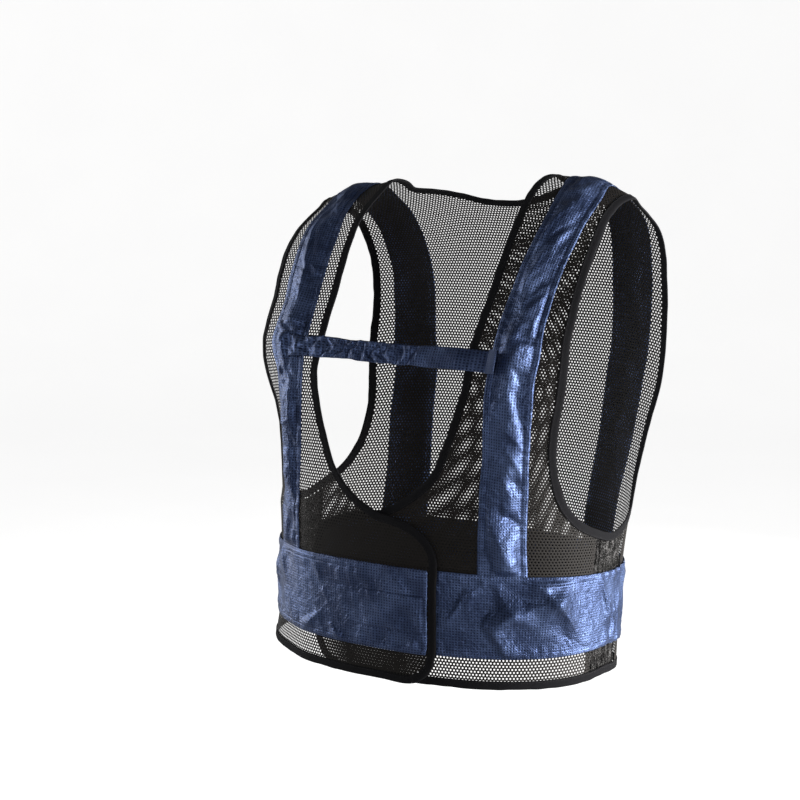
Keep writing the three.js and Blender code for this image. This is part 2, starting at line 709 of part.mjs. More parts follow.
const materials = {
  net: new THREE.MeshStandardMaterial({ color: 0x1b1a1b, roughness: 0.85, metalness: 0 }),
  elastic: new THREE.MeshStandardMaterial({ color: 0x141416, roughness: 0.9, metalness: 0 }),
  tape: new THREE.MeshStandardMaterial({ color: 0x0f0f11, roughness: 0.8, metalness: 0 }),
  shell: new THREE.MeshStandardMaterial({ color: 0x2c4270, roughness: 0.45, metalness: 0 }),
  loop: new THREE.MeshStandardMaterial({ color: 0x5d74a8, roughness: 0.55, metalness: 0 }),
};

const vest = new THREE.Group();

function add(name, geometry, material) {
  const mesh = new THREE.Mesh(geometry, material);
  mesh.name = name;
  vest.add(mesh);
}

const sides = { left: 1, right: -1 };
for (const [word, side] of Object.entries(sides)) {
  add(`front_mesh_${word}`, frontPanel(side), materials.net);
  add(`side_elastic_${word}`, sideElastic(side), materials.elastic);
  add(`armhole_binding_${word}`, armholeTape(side), materials.tape);
  add(`shoulder_duct_${word}`, shoulderDuct(side), materials.shell);
  add(`waist_band_${word}`, frontBand(side), materials.shell);
}
add("back_mesh", backPanel(), materials.net);
add("waist_band_back", backBand(), materials.shell);
const { neckTape, hemTape } = edgeTapes();
add("neck_binding", neckTape, materials.tape);
add("hem_binding", hemTape, materials.tape);
add("chest_strap", chestStrap(), materials.shell);
add("strap_loop", strapLoop(), materials.loop);

export default vest;
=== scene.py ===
"""Cooling vest: open net panels, puffed blue ducts, a wrap-over waist band, a chest strap and tape edges.

The surface of the worn vest is worked out as in the CAD source: a turn in degrees from the centre line
and a share down the cloth give a place, and a lift stands off it. Lengths are millimetres until a mesh is
made. Materials, lights and the camera are in metres.
"""

import math

import bmesh
import bpy
import numpy as np
from mathutils import Matrix, Vector


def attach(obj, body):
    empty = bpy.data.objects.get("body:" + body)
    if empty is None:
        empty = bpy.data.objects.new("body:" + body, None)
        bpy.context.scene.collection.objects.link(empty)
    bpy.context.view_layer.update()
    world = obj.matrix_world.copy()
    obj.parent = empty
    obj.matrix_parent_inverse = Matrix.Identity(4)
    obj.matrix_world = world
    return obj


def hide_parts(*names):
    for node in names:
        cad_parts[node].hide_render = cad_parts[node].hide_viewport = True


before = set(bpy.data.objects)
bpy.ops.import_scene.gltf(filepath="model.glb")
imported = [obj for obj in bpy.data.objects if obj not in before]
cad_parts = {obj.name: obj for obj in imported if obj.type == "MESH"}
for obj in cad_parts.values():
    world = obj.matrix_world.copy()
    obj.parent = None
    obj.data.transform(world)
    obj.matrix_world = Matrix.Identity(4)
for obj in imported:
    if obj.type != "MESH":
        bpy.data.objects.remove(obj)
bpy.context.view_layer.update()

MM = 0.001

# The worn form, as in the CAD source.
HALF_WIDTH = 190
FRONT_REACH = 153
BACK_REACH = 110
HEIGHT = 468
CLOTH_LENGTH = 532
NET_THICKNESS = 1.0
TAPE_WIDTH = 8
TAPE_THICKNESS = 2.4
BAND_THICKNESS = 1.2
DUCT_WIDTH = 49
DUCT_THICKNESS = 1.0
DUCT_CROWN = 5
SEAM_GAP = 0.35
LAYER_GAP = 1.2
TOP_FLAP_REACH = 55
UNDER_FLAP_REACH = 71
SIDE_SEAM_TURN = 77
SIDE_SEAM_TOP = 0.72
BAND_TOP = 0.79
BAND_HEIGHT = 81
HEM_SEAM = 0.985
STRAP_HEIGHT = 20
STRAP_DOWN = 0.423
STRAP_FREE_TURN = 21.5
STRAP_FREE_REACH = 0.72
STRAP_ON_DUCT = {1: 7, -1: 17}       # how far the strap's ends pass the left and right duct's inner edges
LOOP_WIDTH = 8
ELASTIC_WIDTH = 90

# down, width, side forward, side below, front forward, front below, back out, back below, squareness
SECTIONS = np.array([
    (0.00, 1.000, -0.026, 0.096, -0.026, -0.010, 0.036, -0.010, 2.5),
    (0.09, 1.010, -0.013, 0.158, 0.240, 0.025, 0.455, 0.026, 3.0),
    (0.19, 1.035, 0.000, 0.225, 0.515, 0.109, 0.764, 0.098, 4.0),
    (0.30, 1.035, 0.026, 0.320, 0.710, 0.222, 0.945, 0.214, 4.2),
    (0.43, 1.020, 0.052, 0.438, 0.930, 0.353, 1.000, 0.363, 3.5),
    (0.56, 0.985, 0.105, 0.558, 1.000, 0.500, 0.964, 0.513, 2.9),
    (0.68, 0.950, 0.157, 0.667, 0.995, 0.638, 0.890, 0.641, 2.5),
    (0.79, 0.940, 0.196, 0.774, 0.985, 0.765, 0.820, 0.769, 2.3),
    (0.90, 0.945, 0.222, 0.880, 0.975, 0.891, 0.764, 0.893, 2.25),
    (1.00, 0.945, 0.235, 0.982, 0.965, 1.000, 0.727, 1.000, 2.25),
])
# down, turn
NECK_SEAM = np.array([
    (0.00, 28.4), (0.08, 26.8), (0.16, 26.9), (0.24, 26.4), (0.32, 25.8), (0.40, 25.6), (0.47, 26.0),
    (0.53, 24.4), (0.58, 22.4), (0.63, 19.4), (0.66, 15.0), (0.685, 9.5), (0.703, 4.0), (0.713, 0.0),
])
# down, share of the flap's reach
FLAP_SEAM = np.array([
    (0.713, 0.00), (0.720, 0.38), (0.730, 0.66), (0.745, 0.87), (0.768, 1.00),
    (0.930, 1.00), (0.965, 0.93), (0.985, 0.68),
])
# down, turn
ARM_SEAM = np.array([
    (0.00, 57.0), (0.03, 54.8), (0.07, 51.0), (0.12, 47.8), (0.17, 45.9), (0.22, 44.8), (0.27, 44.1),
    (0.32, 44.3), (0.37, 45.1), (0.42, 46.6), (0.47, 47.6), (0.53, 48.2), (0.58, 49.8), (0.63, 53.0),
    (0.66, 56.4), (0.685, 61.0), (0.703, 66.5), (0.720, 77.0), (0.728, 90.0),
])
ARM_FLARE = 6
# down, share of the flare
FLARE_ROWS = np.array([
    (0.00, 0.0), (0.12, 0.4), (0.24, 0.9), (0.36, 1.0), (0.47, 0.9), (0.58, 0.4), (0.68, 0.0),
])
FLARE_TURNS = (37, 49)
# turn, down
BACK_NECK = np.array([
    (0.0, 0.145), (6.75, 0.141), (13.5, 0.125), (20.25, 0.100), (27.0, 0.070), (28.4, 0.0),
])
# down, turn, share of the crown
DUCT_ROWS = np.array([
    (0.00, 38.6, 0.5), (0.07, 38.2, 0.8), (0.12, 37.4, 0.8), (0.17, 36.3, 1.1), (0.22, 35.4, 0.9),
    (0.27, 34.7, 1.0), (0.32, 34.4, 0.8), (0.37, 34.6, 1.3), (0.42, 35.0, 1.5), (0.47, 34.8, 0.7),
    (0.53, 35.6, 1.0), (0.58, 36.4, 0.8), (0.63, 36.9, 1.2), (0.685, 37.3, 0.9), (0.73, 37.6, 1.0),
    (0.785, 38.0, 1.1),
])


def look_up(rows, position, column=1):
    return np.interp(position, rows[:, 0], rows[:, column])


def smoothstep(x, low, high):
    share = np.clip((x - low) / (high - low), 0, 1)
    return share * share * (3 - 2 * share)


def mix(a, b, share):
    return a + (b - a) * share


def hermite(knots, values, x):
    """A smooth curve through the rows of a table, with centred slopes."""
    slopes = np.empty_like(values)
    slopes[1:-1] = (values[2:] - values[:-2]) / (knots[2:] - knots[:-2])[:, None]
    slopes[0] = (values[1] - values[0]) / (knots[1] - knots[0])
    slopes[-1] = (values[-1] - values[-2]) / (knots[-1] - knots[-2])
    x = np.asarray(x, float)
    k = np.clip(np.searchsorted(knots, x, side="right") - 1, 0, len(knots) - 2)
    span = knots[k + 1] - knots[k]
    t = (x - knots[k]) / span
    start = (2 * t ** 3 - 3 * t ** 2 + 1)[..., None]
    leave = ((t ** 3 - 2 * t ** 2 + t) * span)[..., None]
    arrive = ((t ** 3 - t ** 2) * span)[..., None]
    return start * values[k] + leave * slopes[k] + (1 - start) * values[k + 1] + arrive * slopes[k + 1]


def curve(rows, position):
    """All columns of a table on smooth curves. Its first column holds the positions."""
    return hermite(rows[:, 0], rows[:, 1:], position)


def section_knots():
    down, width, side_f, side_b, front_f, front_b, back_o, back_b, square = SECTIONS.T
    side = [width * HALF_WIDTH, -side_f * FRONT_REACH, -side_b * HEIGHT]
    front = np.stack([*side, -front_f * FRONT_REACH, -front_b * HEIGHT, square], -1)
    back = np.stack([*side, back_o * BACK_REACH, -back_b * HEIGHT, square], -1)
    return np.concatenate([-down[:0:-1], down]), np.concatenate([back[:0:-1], front])


KNOTS, KNOT_VALUES = section_knots()


def cloth(turn, down):
    """A point of the cloth. A turn beyond 90 degrees passes to the other half."""
    turn, down = np.broadcast_arrays(np.asarray(turn, float), np.asarray(down, float))
    past = np.abs(turn) > 90
    angle = np.radians(np.where(past, np.sign(turn) * 180 - turn, turn))
    fields = hermite(KNOTS, KNOT_VALUES, np.where(past, -down, down))
    width, side_y, side_z, crest_y, crest_z, power = np.moveaxis(fields, -1, 0)
    sine, cosine = np.sin(angle), np.cos(angle)
    radius = (np.abs(sine) ** power + np.abs(cosine) ** power) ** (1 / power)
    out = cosine / radius
    return np.stack([width * sine / radius, mix(side_y, crest_y, out), mix(side_z, crest_z, out)], -1)


def unit(v):
    return v / np.maximum(np.linalg.norm(v, axis=-1, keepdims=True), 1e-9)


def cloth_normal(turn, down):
    turn_step, down_step = 0.5, 0.003
    across = cloth(turn + turn_step, down) - cloth(turn - turn_step, down)
    along = cloth(turn, down + down_step) - cloth(turn, down - down_step)
    return unit(np.cross(along, across))


def flare(turn, down):
    from_centre = np.where(np.abs(turn) > 90, 180 - np.abs(turn), np.abs(turn))
    return ARM_FLARE * look_up(FLARE_ROWS, np.abs(down)) * smoothstep(from_centre, *FLARE_TURNS)


def raised(turn, down, lift):
    turn, down = np.broadcast_arrays(np.asarray(turn, float), np.asarray(down, float))
    return cloth(turn, down) + cloth_normal(turn, down) * (lift + flare(turn, down))[..., None]


def sideways(turn, down, distance):
    """The turn that lies a distance sideways along the cloth."""
    steps = 6
    half_degree = 0.5
    turn, down, distance = np.broadcast_arrays(*(np.asarray(x, float) for x in (turn, down, distance)))
    place = turn.copy()
    for _ in range(steps):
        width = np.linalg.norm(cloth(place + half_degree, down) - cloth(place - half_degree, down), axis=-1)
        place = place + distance / steps / width
    return place


FLAP_STAND_OFF = NET_THICKNESS + LAYER_GAP + BAND_THICKNESS + LAYER_GAP
OVERLAP = (27, 42)            # degrees past the centre line over which the upper front comes down again
OVERLAP_DOWN = (0.60, 0.69)   # and shares down the cloth over which it lifts off


def stand_off(side, turn, down):
    """The right front lies over the left one."""
    if side > 0:
        return np.zeros(np.broadcast(turn, down).shape)
    return FLAP_STAND_OFF * (1 - smoothstep(-turn, *OVERLAP)) * smoothstep(down, *OVERLAP_DOWN)


def front_seam(side, down):
    reach = UNDER_FLAP_REACH if side > 0 else TOP_FLAP_REACH
    neck = side * look_up(NECK_SEAM, down)
    flap = sideways(0, down, -side * reach * look_up(FLAP_SEAM, down))
    return np.where(down <= NECK_SEAM[-1, 0], neck, flap)


def outer_seam(down):
    armhole = np.minimum(look_up(ARM_SEAM, down), SIDE_SEAM_TURN)
    return np.where(down <= SIDE_SEAM_TOP, armhole, SIDE_SEAM_TURN)


# The worn vest isn't quite the same on both sides.
# Each shoulder's rise, and the heights over which it sets in.
SHOULDER_RISE = {1: (4, -100, -10), -1: (-9, -130, -10)}
SHOULDER_SPAN = (40, 120)
# How far the right side is drawn over: height, distance of the whole side, distance of its outer edge.
DRAWN_OVER = np.array([
    (-470, 0, 0), (-456, 0, 1), (-434, 0, 4), (-419, 0, 6), (-405, 0, 5), (-390, 0, 3), (-360, 0, 4),
    (-325, 0.5, 4), (-305, 3.5, 8), (-285, 4, 11), (-264, 4, 14), (-243, 4, 16), (-222, 4, 15),
    (-201, 4, 11), (-180, 4.7, 7), (-160, 6.3, 5), (-140, 6.3, 6), (-120, 6.3, 7), (-100, 6.4, 5),
    (-55, 6.5, 5), (-35, 4, 3), (0, 2, 1),
])
DRAWN_TURN = 33           # degrees back from straight across
DRAWN_SPAN = (10, 70)     # distances from the middle over which the whole side sets in
DRAWN_EDGE = (115, 165)   # and its outer edge
DRAWN_FRONT = (-20, 40)   # distances in front of the middle


def settle(points):
    """The right shoulder hangs lower and the right side is drawn over."""
    x, y, z = np.moveaxis(points, -1, 0)
    rise = 0
    for side, (distance, *heights) in SHOULDER_RISE.items():
        rise = rise + distance * smoothstep(side * x, *SHOULDER_SPAN) * smoothstep(z, *heights)
    whole, edge = (look_up(DRAWN_OVER, z, column) for column in (1, 2))
    drawn = mix(whole * smoothstep(-x, *DRAWN_SPAN), edge, smoothstep(-x, *DRAWN_EDGE))
    drawn = drawn * smoothstep(-y, *DRAWN_FRONT)
    moved = points.copy()
    moved[..., 0] += drawn * math.cos(math.radians(DRAWN_TURN))
    moved[..., 1] += drawn * math.sin(math.radians(DRAWN_TURN))
    moved[..., 2] += rise
    return moved


# Noise and folds

def lattice_noise(x, y, seed):
    size = 61
    table = np.random.default_rng(seed).uniform(-1, 1, (size, size))
    xi, yi = np.floor(x).astype(int), np.floor(y).astype(int)
    fx, fy = x - xi, y - yi
    fx, fy = fx * fx * (3 - 2 * fx), fy * fy * (3 - 2 * fy)

    def corner(i, j):
        return table[(xi + i) % size, (yi + j) % size]

    return mix(mix(corner(0, 0), corner(1, 0), fx), mix(corner(0, 1), corner(1, 1), fx), fy)


def crumple(u, v, seed, scale):
    """Ridges and hollows of crumpled thin cloth, about -1 to 1."""
    bend = 0.35 * scale
    ridge = 3.2
    u2 = u + bend * lattice_noise(u / scale + 9.1, v / scale, seed + 1)
    v2 = v + bend * lattice_noise(u / scale, v / scale + 5.3, seed + 2)
    total = np.zeros(np.shape(u))
    for octave, rise in enumerate((0.55, 0.34, 0.2)):
        size = scale / 2 ** octave
        n = lattice_noise((u2 + 0.5 * v2) / size, (0.55 * v2 - 0.35 * u2) / size, seed + 3 + octave)
        total += rise * (1 - ridge * np.abs(n))
    return total


def folds(u, v, rows):
    """Single folds: place across and along, slant in degrees, length, width, rise, skew."""
    fall, tip, sharpness = 1.2, 0.02, 0.65
    total = np.zeros(np.shape(u))
    for u0, v0, slant, long, wide, rise, skew in rows:
        c, s = math.cos(math.radians(slant)), math.sin(math.radians(slant))
        run = ((u - u0) * c + (v - v0) * s) / (long / 2)
        off = (-(u - u0) * s + (v - v0) * c) / (wide / 2)
        off = off + skew * np.abs(off)
        total += rise * np.exp(-run ** 4 - fall * (off ** 2 + tip) ** sharpness)
    return total


def fold_wave(phase):
    """A wave of even slopes with sharp crests."""
    crest = 0.96
    return np.arcsin(crest * np.sin(phase)) / (math.pi / 2)


def thinned(from_edge):
    """A turned edge gets thinner towards its fold."""
    thinnest, width = 0.3, 2.5
    return mix(thinnest, 1, smoothstep(from_edge, 0, width))


def seam_groove(distance, depth, width):
    return -depth * np.exp(-(distance / width) ** 2)


# Meshes

def add_object(name, data):
    obj = bpy.data.objects.new(name, data)
    bpy.context.scene.collection.objects.link(obj)
    return obj


def mesh_object(name, places, faces, uv, material):
    """An object of faces with the same number of sides. Places are metres."""
    mesh = bpy.data.meshes.new(name)
    faces = np.asarray(faces)
    count, sides = faces.shape
    mesh.vertices.add(len(places))
    mesh.vertices.foreach_set("co", places.astype(np.float32).ravel())
    mesh.loops.add(count * sides)
    mesh.loops.foreach_set("vertex_index", faces.astype(np.int32).ravel())
    mesh.polygons.add(count)
    mesh.polygons.foreach_set("loop_start", np.arange(0, count * sides, sides, dtype=np.int32))
    mesh.polygons.foreach_set("loop_total", np.full(count, sides, np.int32))
    mesh.update(calc_edges=True)
    if uv is not None:
        layer = mesh.uv_layers.new(name="UVMap")
        layer.data.foreach_set("uv", (uv[faces.ravel()] * MM).astype(np.float32).ravel())
    mesh.validate()
    mesh.polygons.foreach_set("use_smooth", np.ones(len(mesh.polygons), bool))
    mesh.materials.append(material)
    return add_object(name, mesh)


def piece(name, points, faces, uv, material, slot, *replaced):
    """A piece of the vest, of points in millimetres. The thread alone stands for no solid."""
    obj = mesh_object(name, settle(points) * MM, faces, uv, material)
    if replaced:
        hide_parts(*replaced)
    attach(obj, "root")
    return obj


def grid_faces(rows, columns, start=0, flip=False):
    r, c = np.meshgrid(np.arange(rows - 1), np.arange(columns - 1), indexing="ij")
    a = (r * columns + c).ravel() + start
    quads = np.stack([a, a + columns, a + columns + 1, a + 1], -1)
    return quads[:, ::-1] if flip else quads


def thick_sheet(name, outer, inner, uv, material, slot, replaced):
    """A closed sheet from two grids of points, outer and inner. The uv grids are across and along."""
    rows, columns = outer.shape[:2]
    count = rows * columns
    border = np.concatenate([
        np.arange(columns - 1),
        np.arange(rows - 1) * columns + columns - 1,
        count - 1 - np.arange(columns - 1),
        (rows - 1 - np.arange(rows - 1)) * columns,
    ])
    after = np.roll(border, -1)
    rim = np.stack([border, after, after + count, border + count], -1)
    faces = np.concatenate([grid_faces(rows, columns), grid_faces(rows, columns, count, True), rim])
    points = np.concatenate([outer.reshape(-1, 3), inner.reshape(-1, 3)])
    r, c = rows // 2, columns // 2
    middle = outer[r, c]
    if np.dot(np.cross(outer[r + 1, c] - middle, outer[r, c + 1] - middle), middle - inner[r, c]) < 0:
        faces = faces[:, ::-1]
    uv = np.concatenate([np.stack(uv, -1).reshape(-1, 2)] * 2)
    return piece(name, points, faces, uv, material, slot, replaced)


SEAM_ROWS = (-0.9, -0.35, 0, 0.35, 0.9)   # extra rows of points beside a seam
SEAM_CLEAR = 1.3                          # other rows keep this far away


def spaced(length, pitch, seams=()):
    """Distances from 0 to length, about a pitch apart, with extra rows beside each seam."""
    count = max(int(round(length / pitch)), 2)
    base = np.linspace(0, length, count + 1)
    extra = [seam + off for seam in seams for off in SEAM_ROWS]
    extra = [x for x in extra if 0 < x < length]
    far = [b for b in base if all(abs(b - seam) > SEAM_CLEAR for seam in seams) or b in (0, length)]
    return np.array(sorted(set(np.round(far + extra, 4))))


def arc_lengths(points):
    return np.concatenate([[0], np.cumsum(np.linalg.norm(np.diff(points, axis=0), axis=-1))])


def along(values, lengths, places):
    return np.stack([np.interp(places, lengths, values[:, i]) for i in range(3)], -1)


STITCH_SHARE = 0.74           # of the pitch, the rest is the gap
STITCH_WIDTH = 0.42
STITCH_RISE = 0.22
STITCH_WAIST_RISE = 0.05
STITCH_SINK = 0.1
STITCH_SHOULDERS = (0.3, 0.7)
STITCH_FACES = ((0, 2, 4), (4, 2, 5), (5, 2, 1), (0, 4, 3), (4, 5, 3), (5, 1, 3))


def stitches(name, lines, material, slot, pitch=2.6):
    """Rows of thread stitches. Each line is (points, normals), close together."""
    points, faces = [], []
    total = 0
    for line, normals in lines:
        lengths = arc_lengths(line)
        count = int(lengths[-1] / pitch)
        if count < 1:
            continue
        starts = np.arange(count) * lengths[-1] / count
        a, b = (along(line, lengths, places) for places in (starts, starts + pitch * STITCH_SHARE))
        normal = unit(along(normals, lengths, starts))
        side = unit(np.cross(b - a, normal)) * STITCH_WIDTH / 2
        middle = (a + b) / 2
        ring = [
            a - normal * STITCH_SINK, b - normal * STITCH_SINK,
            middle + side + normal * STITCH_WAIST_RISE, middle - side + normal * STITCH_WAIST_RISE,
            *(mix(a, b, share) + normal * STITCH_RISE for share in STITCH_SHOULDERS),
        ]
        points.append(np.stack(ring, 1).reshape(-1, 3))
        base = total + np.arange(count)[:, None] * len(ring)
        total += count * len(ring)
        faces += [base + np.array(corners) for corners in STITCH_FACES]
    return piece(name, np.concatenate(points), np.concatenate(faces), None, material, slot)


# Materials

class Look:
    """A material, with short ways to the nodes that it is made of."""

    def __init__(self, name, colour, roughness):
        self.material = bpy.data.materials.new(name)
        self.material.use_nodes = True
        tree = self.material.node_tree
        self.nodes, self.links = tree.nodes, tree.links
        self.shader = self.nodes["Principled BSDF"].inputs
        self.set("Base Color", colour)
        self.set("Roughness", roughness)
        coords = self.nodes.new("ShaderNodeTexCoord").outputs
        self.uv, self.place = coords["UV"], coords["Object"]

    def feed(self, socket, value):
        """A socket gets a number, a colour or the output of another node."""
        if isinstance(value, bpy.types.NodeSocket):
            self.links.new(value, socket)
        else:
            socket.default_value = (*value, 1) if isinstance(value, tuple) else value

    def fed(self, node, values):
        for key, value in values.items():
            self.feed(node.inputs[key], value)
        return node.outputs

    def set(self, key, value):
        self.feed(self.shader[key], value)

    def math(self, operation, *values):
        node = self.nodes.new("ShaderNodeMath")
        node.operation = operation
        for socket, value in zip(node.inputs, values):
            self.feed(socket, value)
        return node.outputs[0]

    def from_middle(self, value, middle=0.5):
        return self.math("ABSOLUTE", self.math("SUBTRACT", value, middle))

    def split(self, vector):
        return self.fed(self.nodes.new("ShaderNodeSeparateXYZ"), {0: vector})

    def ramp(self, value, low, high, out_low=0.0, out_high=1.0):
        node = self.nodes.new("ShaderNodeMapRange")
        node.interpolation_type = "SMOOTHSTEP"
        return self.fed(node, {"Value": value, "From Min": low, "From Max": high,
                               "To Min": out_low, "To Max": out_high})["Result"]

    def noise(self, vector, scale, detail=2.0, roughness=0.5):
        return self.fed(self.nodes.new("ShaderNodeTexNoise"),
                        {"Vector": vector, "Scale": scale, "Detail": detail, "Roughness": roughness})["Fac"]

    def mix(self, share, a, b):
        node = self.nodes.new("ShaderNodeMix")
        node.data_type = "RGBA"
        self.feed(node.inputs["Factor"], share)
        colours = [socket for socket in node.inputs if socket.type == "RGBA"]
        for socket, value in zip(colours, (a, b)):
            self.feed(socket, value)
        return [socket for socket in node.outputs if socket.type == "RGBA"][0]

    def bump(self, height, distance, strength=1.0, normal=None):
        values = {"Height": height, "Distance": distance, "Strength": strength}
        if normal is not None:
            values["Normal"] = normal
        return self.fed(self.nodes.new("ShaderNodeBump"), values)["Normal"]


RIPSTOP_PITCH = 0.0026
RIPSTOP_SQUARE = (0.20, 0.35)         # where a dark square ends, as shares of the pitch from its middle
RIPSTOP_DARK = (0.008, 0.013, 0.034)
RIPSTOP_DEEP = (0.038, 0.060, 0.139)
RIPSTOP_PALE = (0.083, 0.123, 0.253)
RIPSTOP_ROUGHNESS = (0.39, 0.50)
# scale, detail and roughness of each noise
TINT_PATCHES = (38, 3.0)
UNEVEN_PRINT = (210, 3.0)
CREASES = (40, 4.0, 0.6)
CRINKLES = (125, 3.0, 0.5)
CRINKLED_PLACES = (11, 1.0)
FIBRES = (900, 2.0)
CREASE_HEIGHT = 0.0031
CRINKLE_HEIGHT = 0.0022
WEAVE_HEIGHT = 0.00026


def ripstop_material():
    """Coated blue ripstop: a fine grid of raised threads round small dark squares, no two quite alike."""
    look = Look("ripstop", (0.03, 0.07, 0.22), 0.42)
    axes = look.split(look.uv)
    waves, cells = [], []
    for axis in ("X", "Y"):
        scaled = look.math("MULTIPLY", axes[axis], 1 / RIPSTOP_PITCH)
        cells.append(look.math("FLOOR", scaled))
        waves.append(look.from_middle(look.math("FRACT", scaled)))
    square = look.ramp(look.math("MAXIMUM", *waves), *RIPSTOP_SQUARE, 1.0, 0.0)
    cell = look.fed(look.nodes.new("ShaderNodeCombineXYZ"), dict(zip("XY", cells)))[0]
    white_noise = look.nodes.new("ShaderNodeTexWhiteNoise")
    white_noise.noise_dimensions = "2D"
    chance = look.fed(white_noise, {"Vector": cell})["Value"]
    patches = look.noise(look.place, *TINT_PATCHES)
    cloth_colour = look.mix(look.ramp(patches, 0.35, 0.7), RIPSTOP_DEEP, RIPSTOP_PALE)
    uneven = look.ramp(look.noise(look.uv, *UNEVEN_PRINT), 0.3, 0.7, 0.5, 0.85)
    dark = look.math("MULTIPLY", square, look.math("MULTIPLY_ADD", chance, 0.25, uneven))
    look.set("Base Color", look.mix(dark, cloth_colour, RIPSTOP_DARK))
    look.set("Roughness", look.ramp(patches, 0.3, 0.75, *RIPSTOP_ROUGHNESS))
    look.set("Metallic", 0.75)
    creases = look.from_middle(look.noise(look.place, *CREASES))
    crinkles = look.from_middle(look.noise(look.place, *CRINKLES))
    places = look.ramp(look.noise(look.place, *CRINKLED_PLACES), 0.42, 0.6, 0.25, 1.0)
    relief = look.bump(creases, CREASE_HEIGHT)
    relief = look.bump(look.math("MULTIPLY", crinkles, places), CRINKLE_HEIGHT, 1.0, relief)
    weave = look.math("MULTIPLY_ADD", square, -0.6, look.noise(look.uv, *FIBRES))
    weave = look.math("MULTIPLY_ADD", chance, 0.5, weave)
    look.set("Normal", look.bump(weave, WEAVE_HEIGHT, 0.8, relief))
    return look.material


def knit_material(name, colour, lighter, rib, roughness, specular):
    """Matt woven tape with fine ribs along its length."""
    look = Look(name, colour, roughness)
    axes = look.split(look.uv)
    waves = [look.math("SINE", look.math("MULTIPLY", axes[axis], 2 * math.pi / pitch))
             for axis, pitch in (("X", rib), ("Y", rib * 1.6))]
    total = look.math("MULTIPLY_ADD", look.math("MULTIPLY", *waves), 0.5, look.noise(look.place, 1500))
    look.set("Base Color", look.mix(look.ramp(total, 0.0, 1.2), colour, lighter))
    look.set("Normal", look.bump(total, 0.00025, 0.7))
    look.set("Specular IOR Level", specular)
    return look.material


ELASTIC_DARK = (0.005, 0.005, 0.005)
ELASTIC_SPECK = (0.125, 0.122, 0.122)
ELASTIC_SEAM = (0.0075, 0.0065)       # from the end, where the specks fade


def elastic_material():
    """Gathered black net elastic: light specks between dark yarns, and a plain seam at either end."""
    look = Look("gathered_elastic", (0.02, 0.02, 0.02), 0.8)
    specks = look.noise(look.uv, 880, 2.0, 0.6)
    light = look.ramp(look.math("MULTIPLY_ADD", look.noise(look.uv, 90), 0.5, specks), 0.76, 0.92)
    half = ELASTIC_WIDTH * MM / 2
    from_middle = look.from_middle(look.split(look.uv)["X"], half)
    between = look.ramp(from_middle, *(half - seam for seam in ELASTIC_SEAM), 1.0, 0.0)
    look.set("Base Color", look.mix(look.math("MULTIPLY", light, between), ELASTIC_DARK, ELASTIC_SPECK))
    look.set("Normal", look.bump(specks, 0.0008, 0.8))
    look.set("Specular IOR Level", 0.15)
    return look.material


def thread_material(name, colour, roughness=0.6):
    look = Look(name, colour, roughness)
    twist = look.noise(look.place, 2500, 1.0)
    darker = tuple(0.6 * channel for channel in colour)
    look.set("Base Color", look.mix(look.ramp(twist, 0.3, 0.7), darker, colour))
    look.set("Normal", look.bump(twist, 0.0001, 0.5))
    look.set("Specular IOR Level", 0.2)
    return look.material


RIPSTOP = ripstop_material()
NET = thread_material("net_yarn", (0.016, 0.014, 0.013), 0.72)
TAPE = knit_material("edge_tape", (0.004, 0.004, 0.005), (0.010, 0.010, 0.012), 0.0009, 0.9, 0.12)
ELASTIC = elastic_material()
BLUE_THREAD = thread_material("blue_thread", (0.02, 0.035, 0.11))
BLACK_THREAD = thread_material("black_thread", (0.015, 0.015, 0.016))
LOOP_WEB = knit_material("loop_webbing", (0.012, 0.020, 0.055), (0.075, 0.115, 0.24), 0.0011, 0.6, 0.22)


# The net: one ring of six flat struts round each hole, with a ridge where two rings meet.

NET_PITCH = 3.3
NET_HOLE = 0.50           # share of a cell's width that is open
NET_RIDGE = 0.3
NET_LIFT = 0.45
ROW_STEP = NET_PITCH * math.sqrt(3) / 2
TABLE_ROWS = 161          # of widths
LENGTH_ROWS = 401
TABLE_REACH = 96          # degrees to each side of the centre line
LENGTH_TURN = 37          # lengths are taken below the middle of the duct


def width_table(half):
    """Widths along the cloth from the centre line, for rows of the front or the back."""
    downs = np.linspace(0, 1, TABLE_ROWS)
    turns = np.linspace(-TABLE_REACH, TABLE_REACH, 2 * TABLE_REACH + 1)
    points = cloth(turns[None, :], half * downs[:, None])
    steps = np.linalg.norm(np.diff(points, axis=1), axis=-1)
    widths = np.concatenate([np.zeros((len(downs), 1)), np.cumsum(steps, axis=1)], axis=1)
    return downs, turns, widths - widths[:, [TABLE_REACH]]


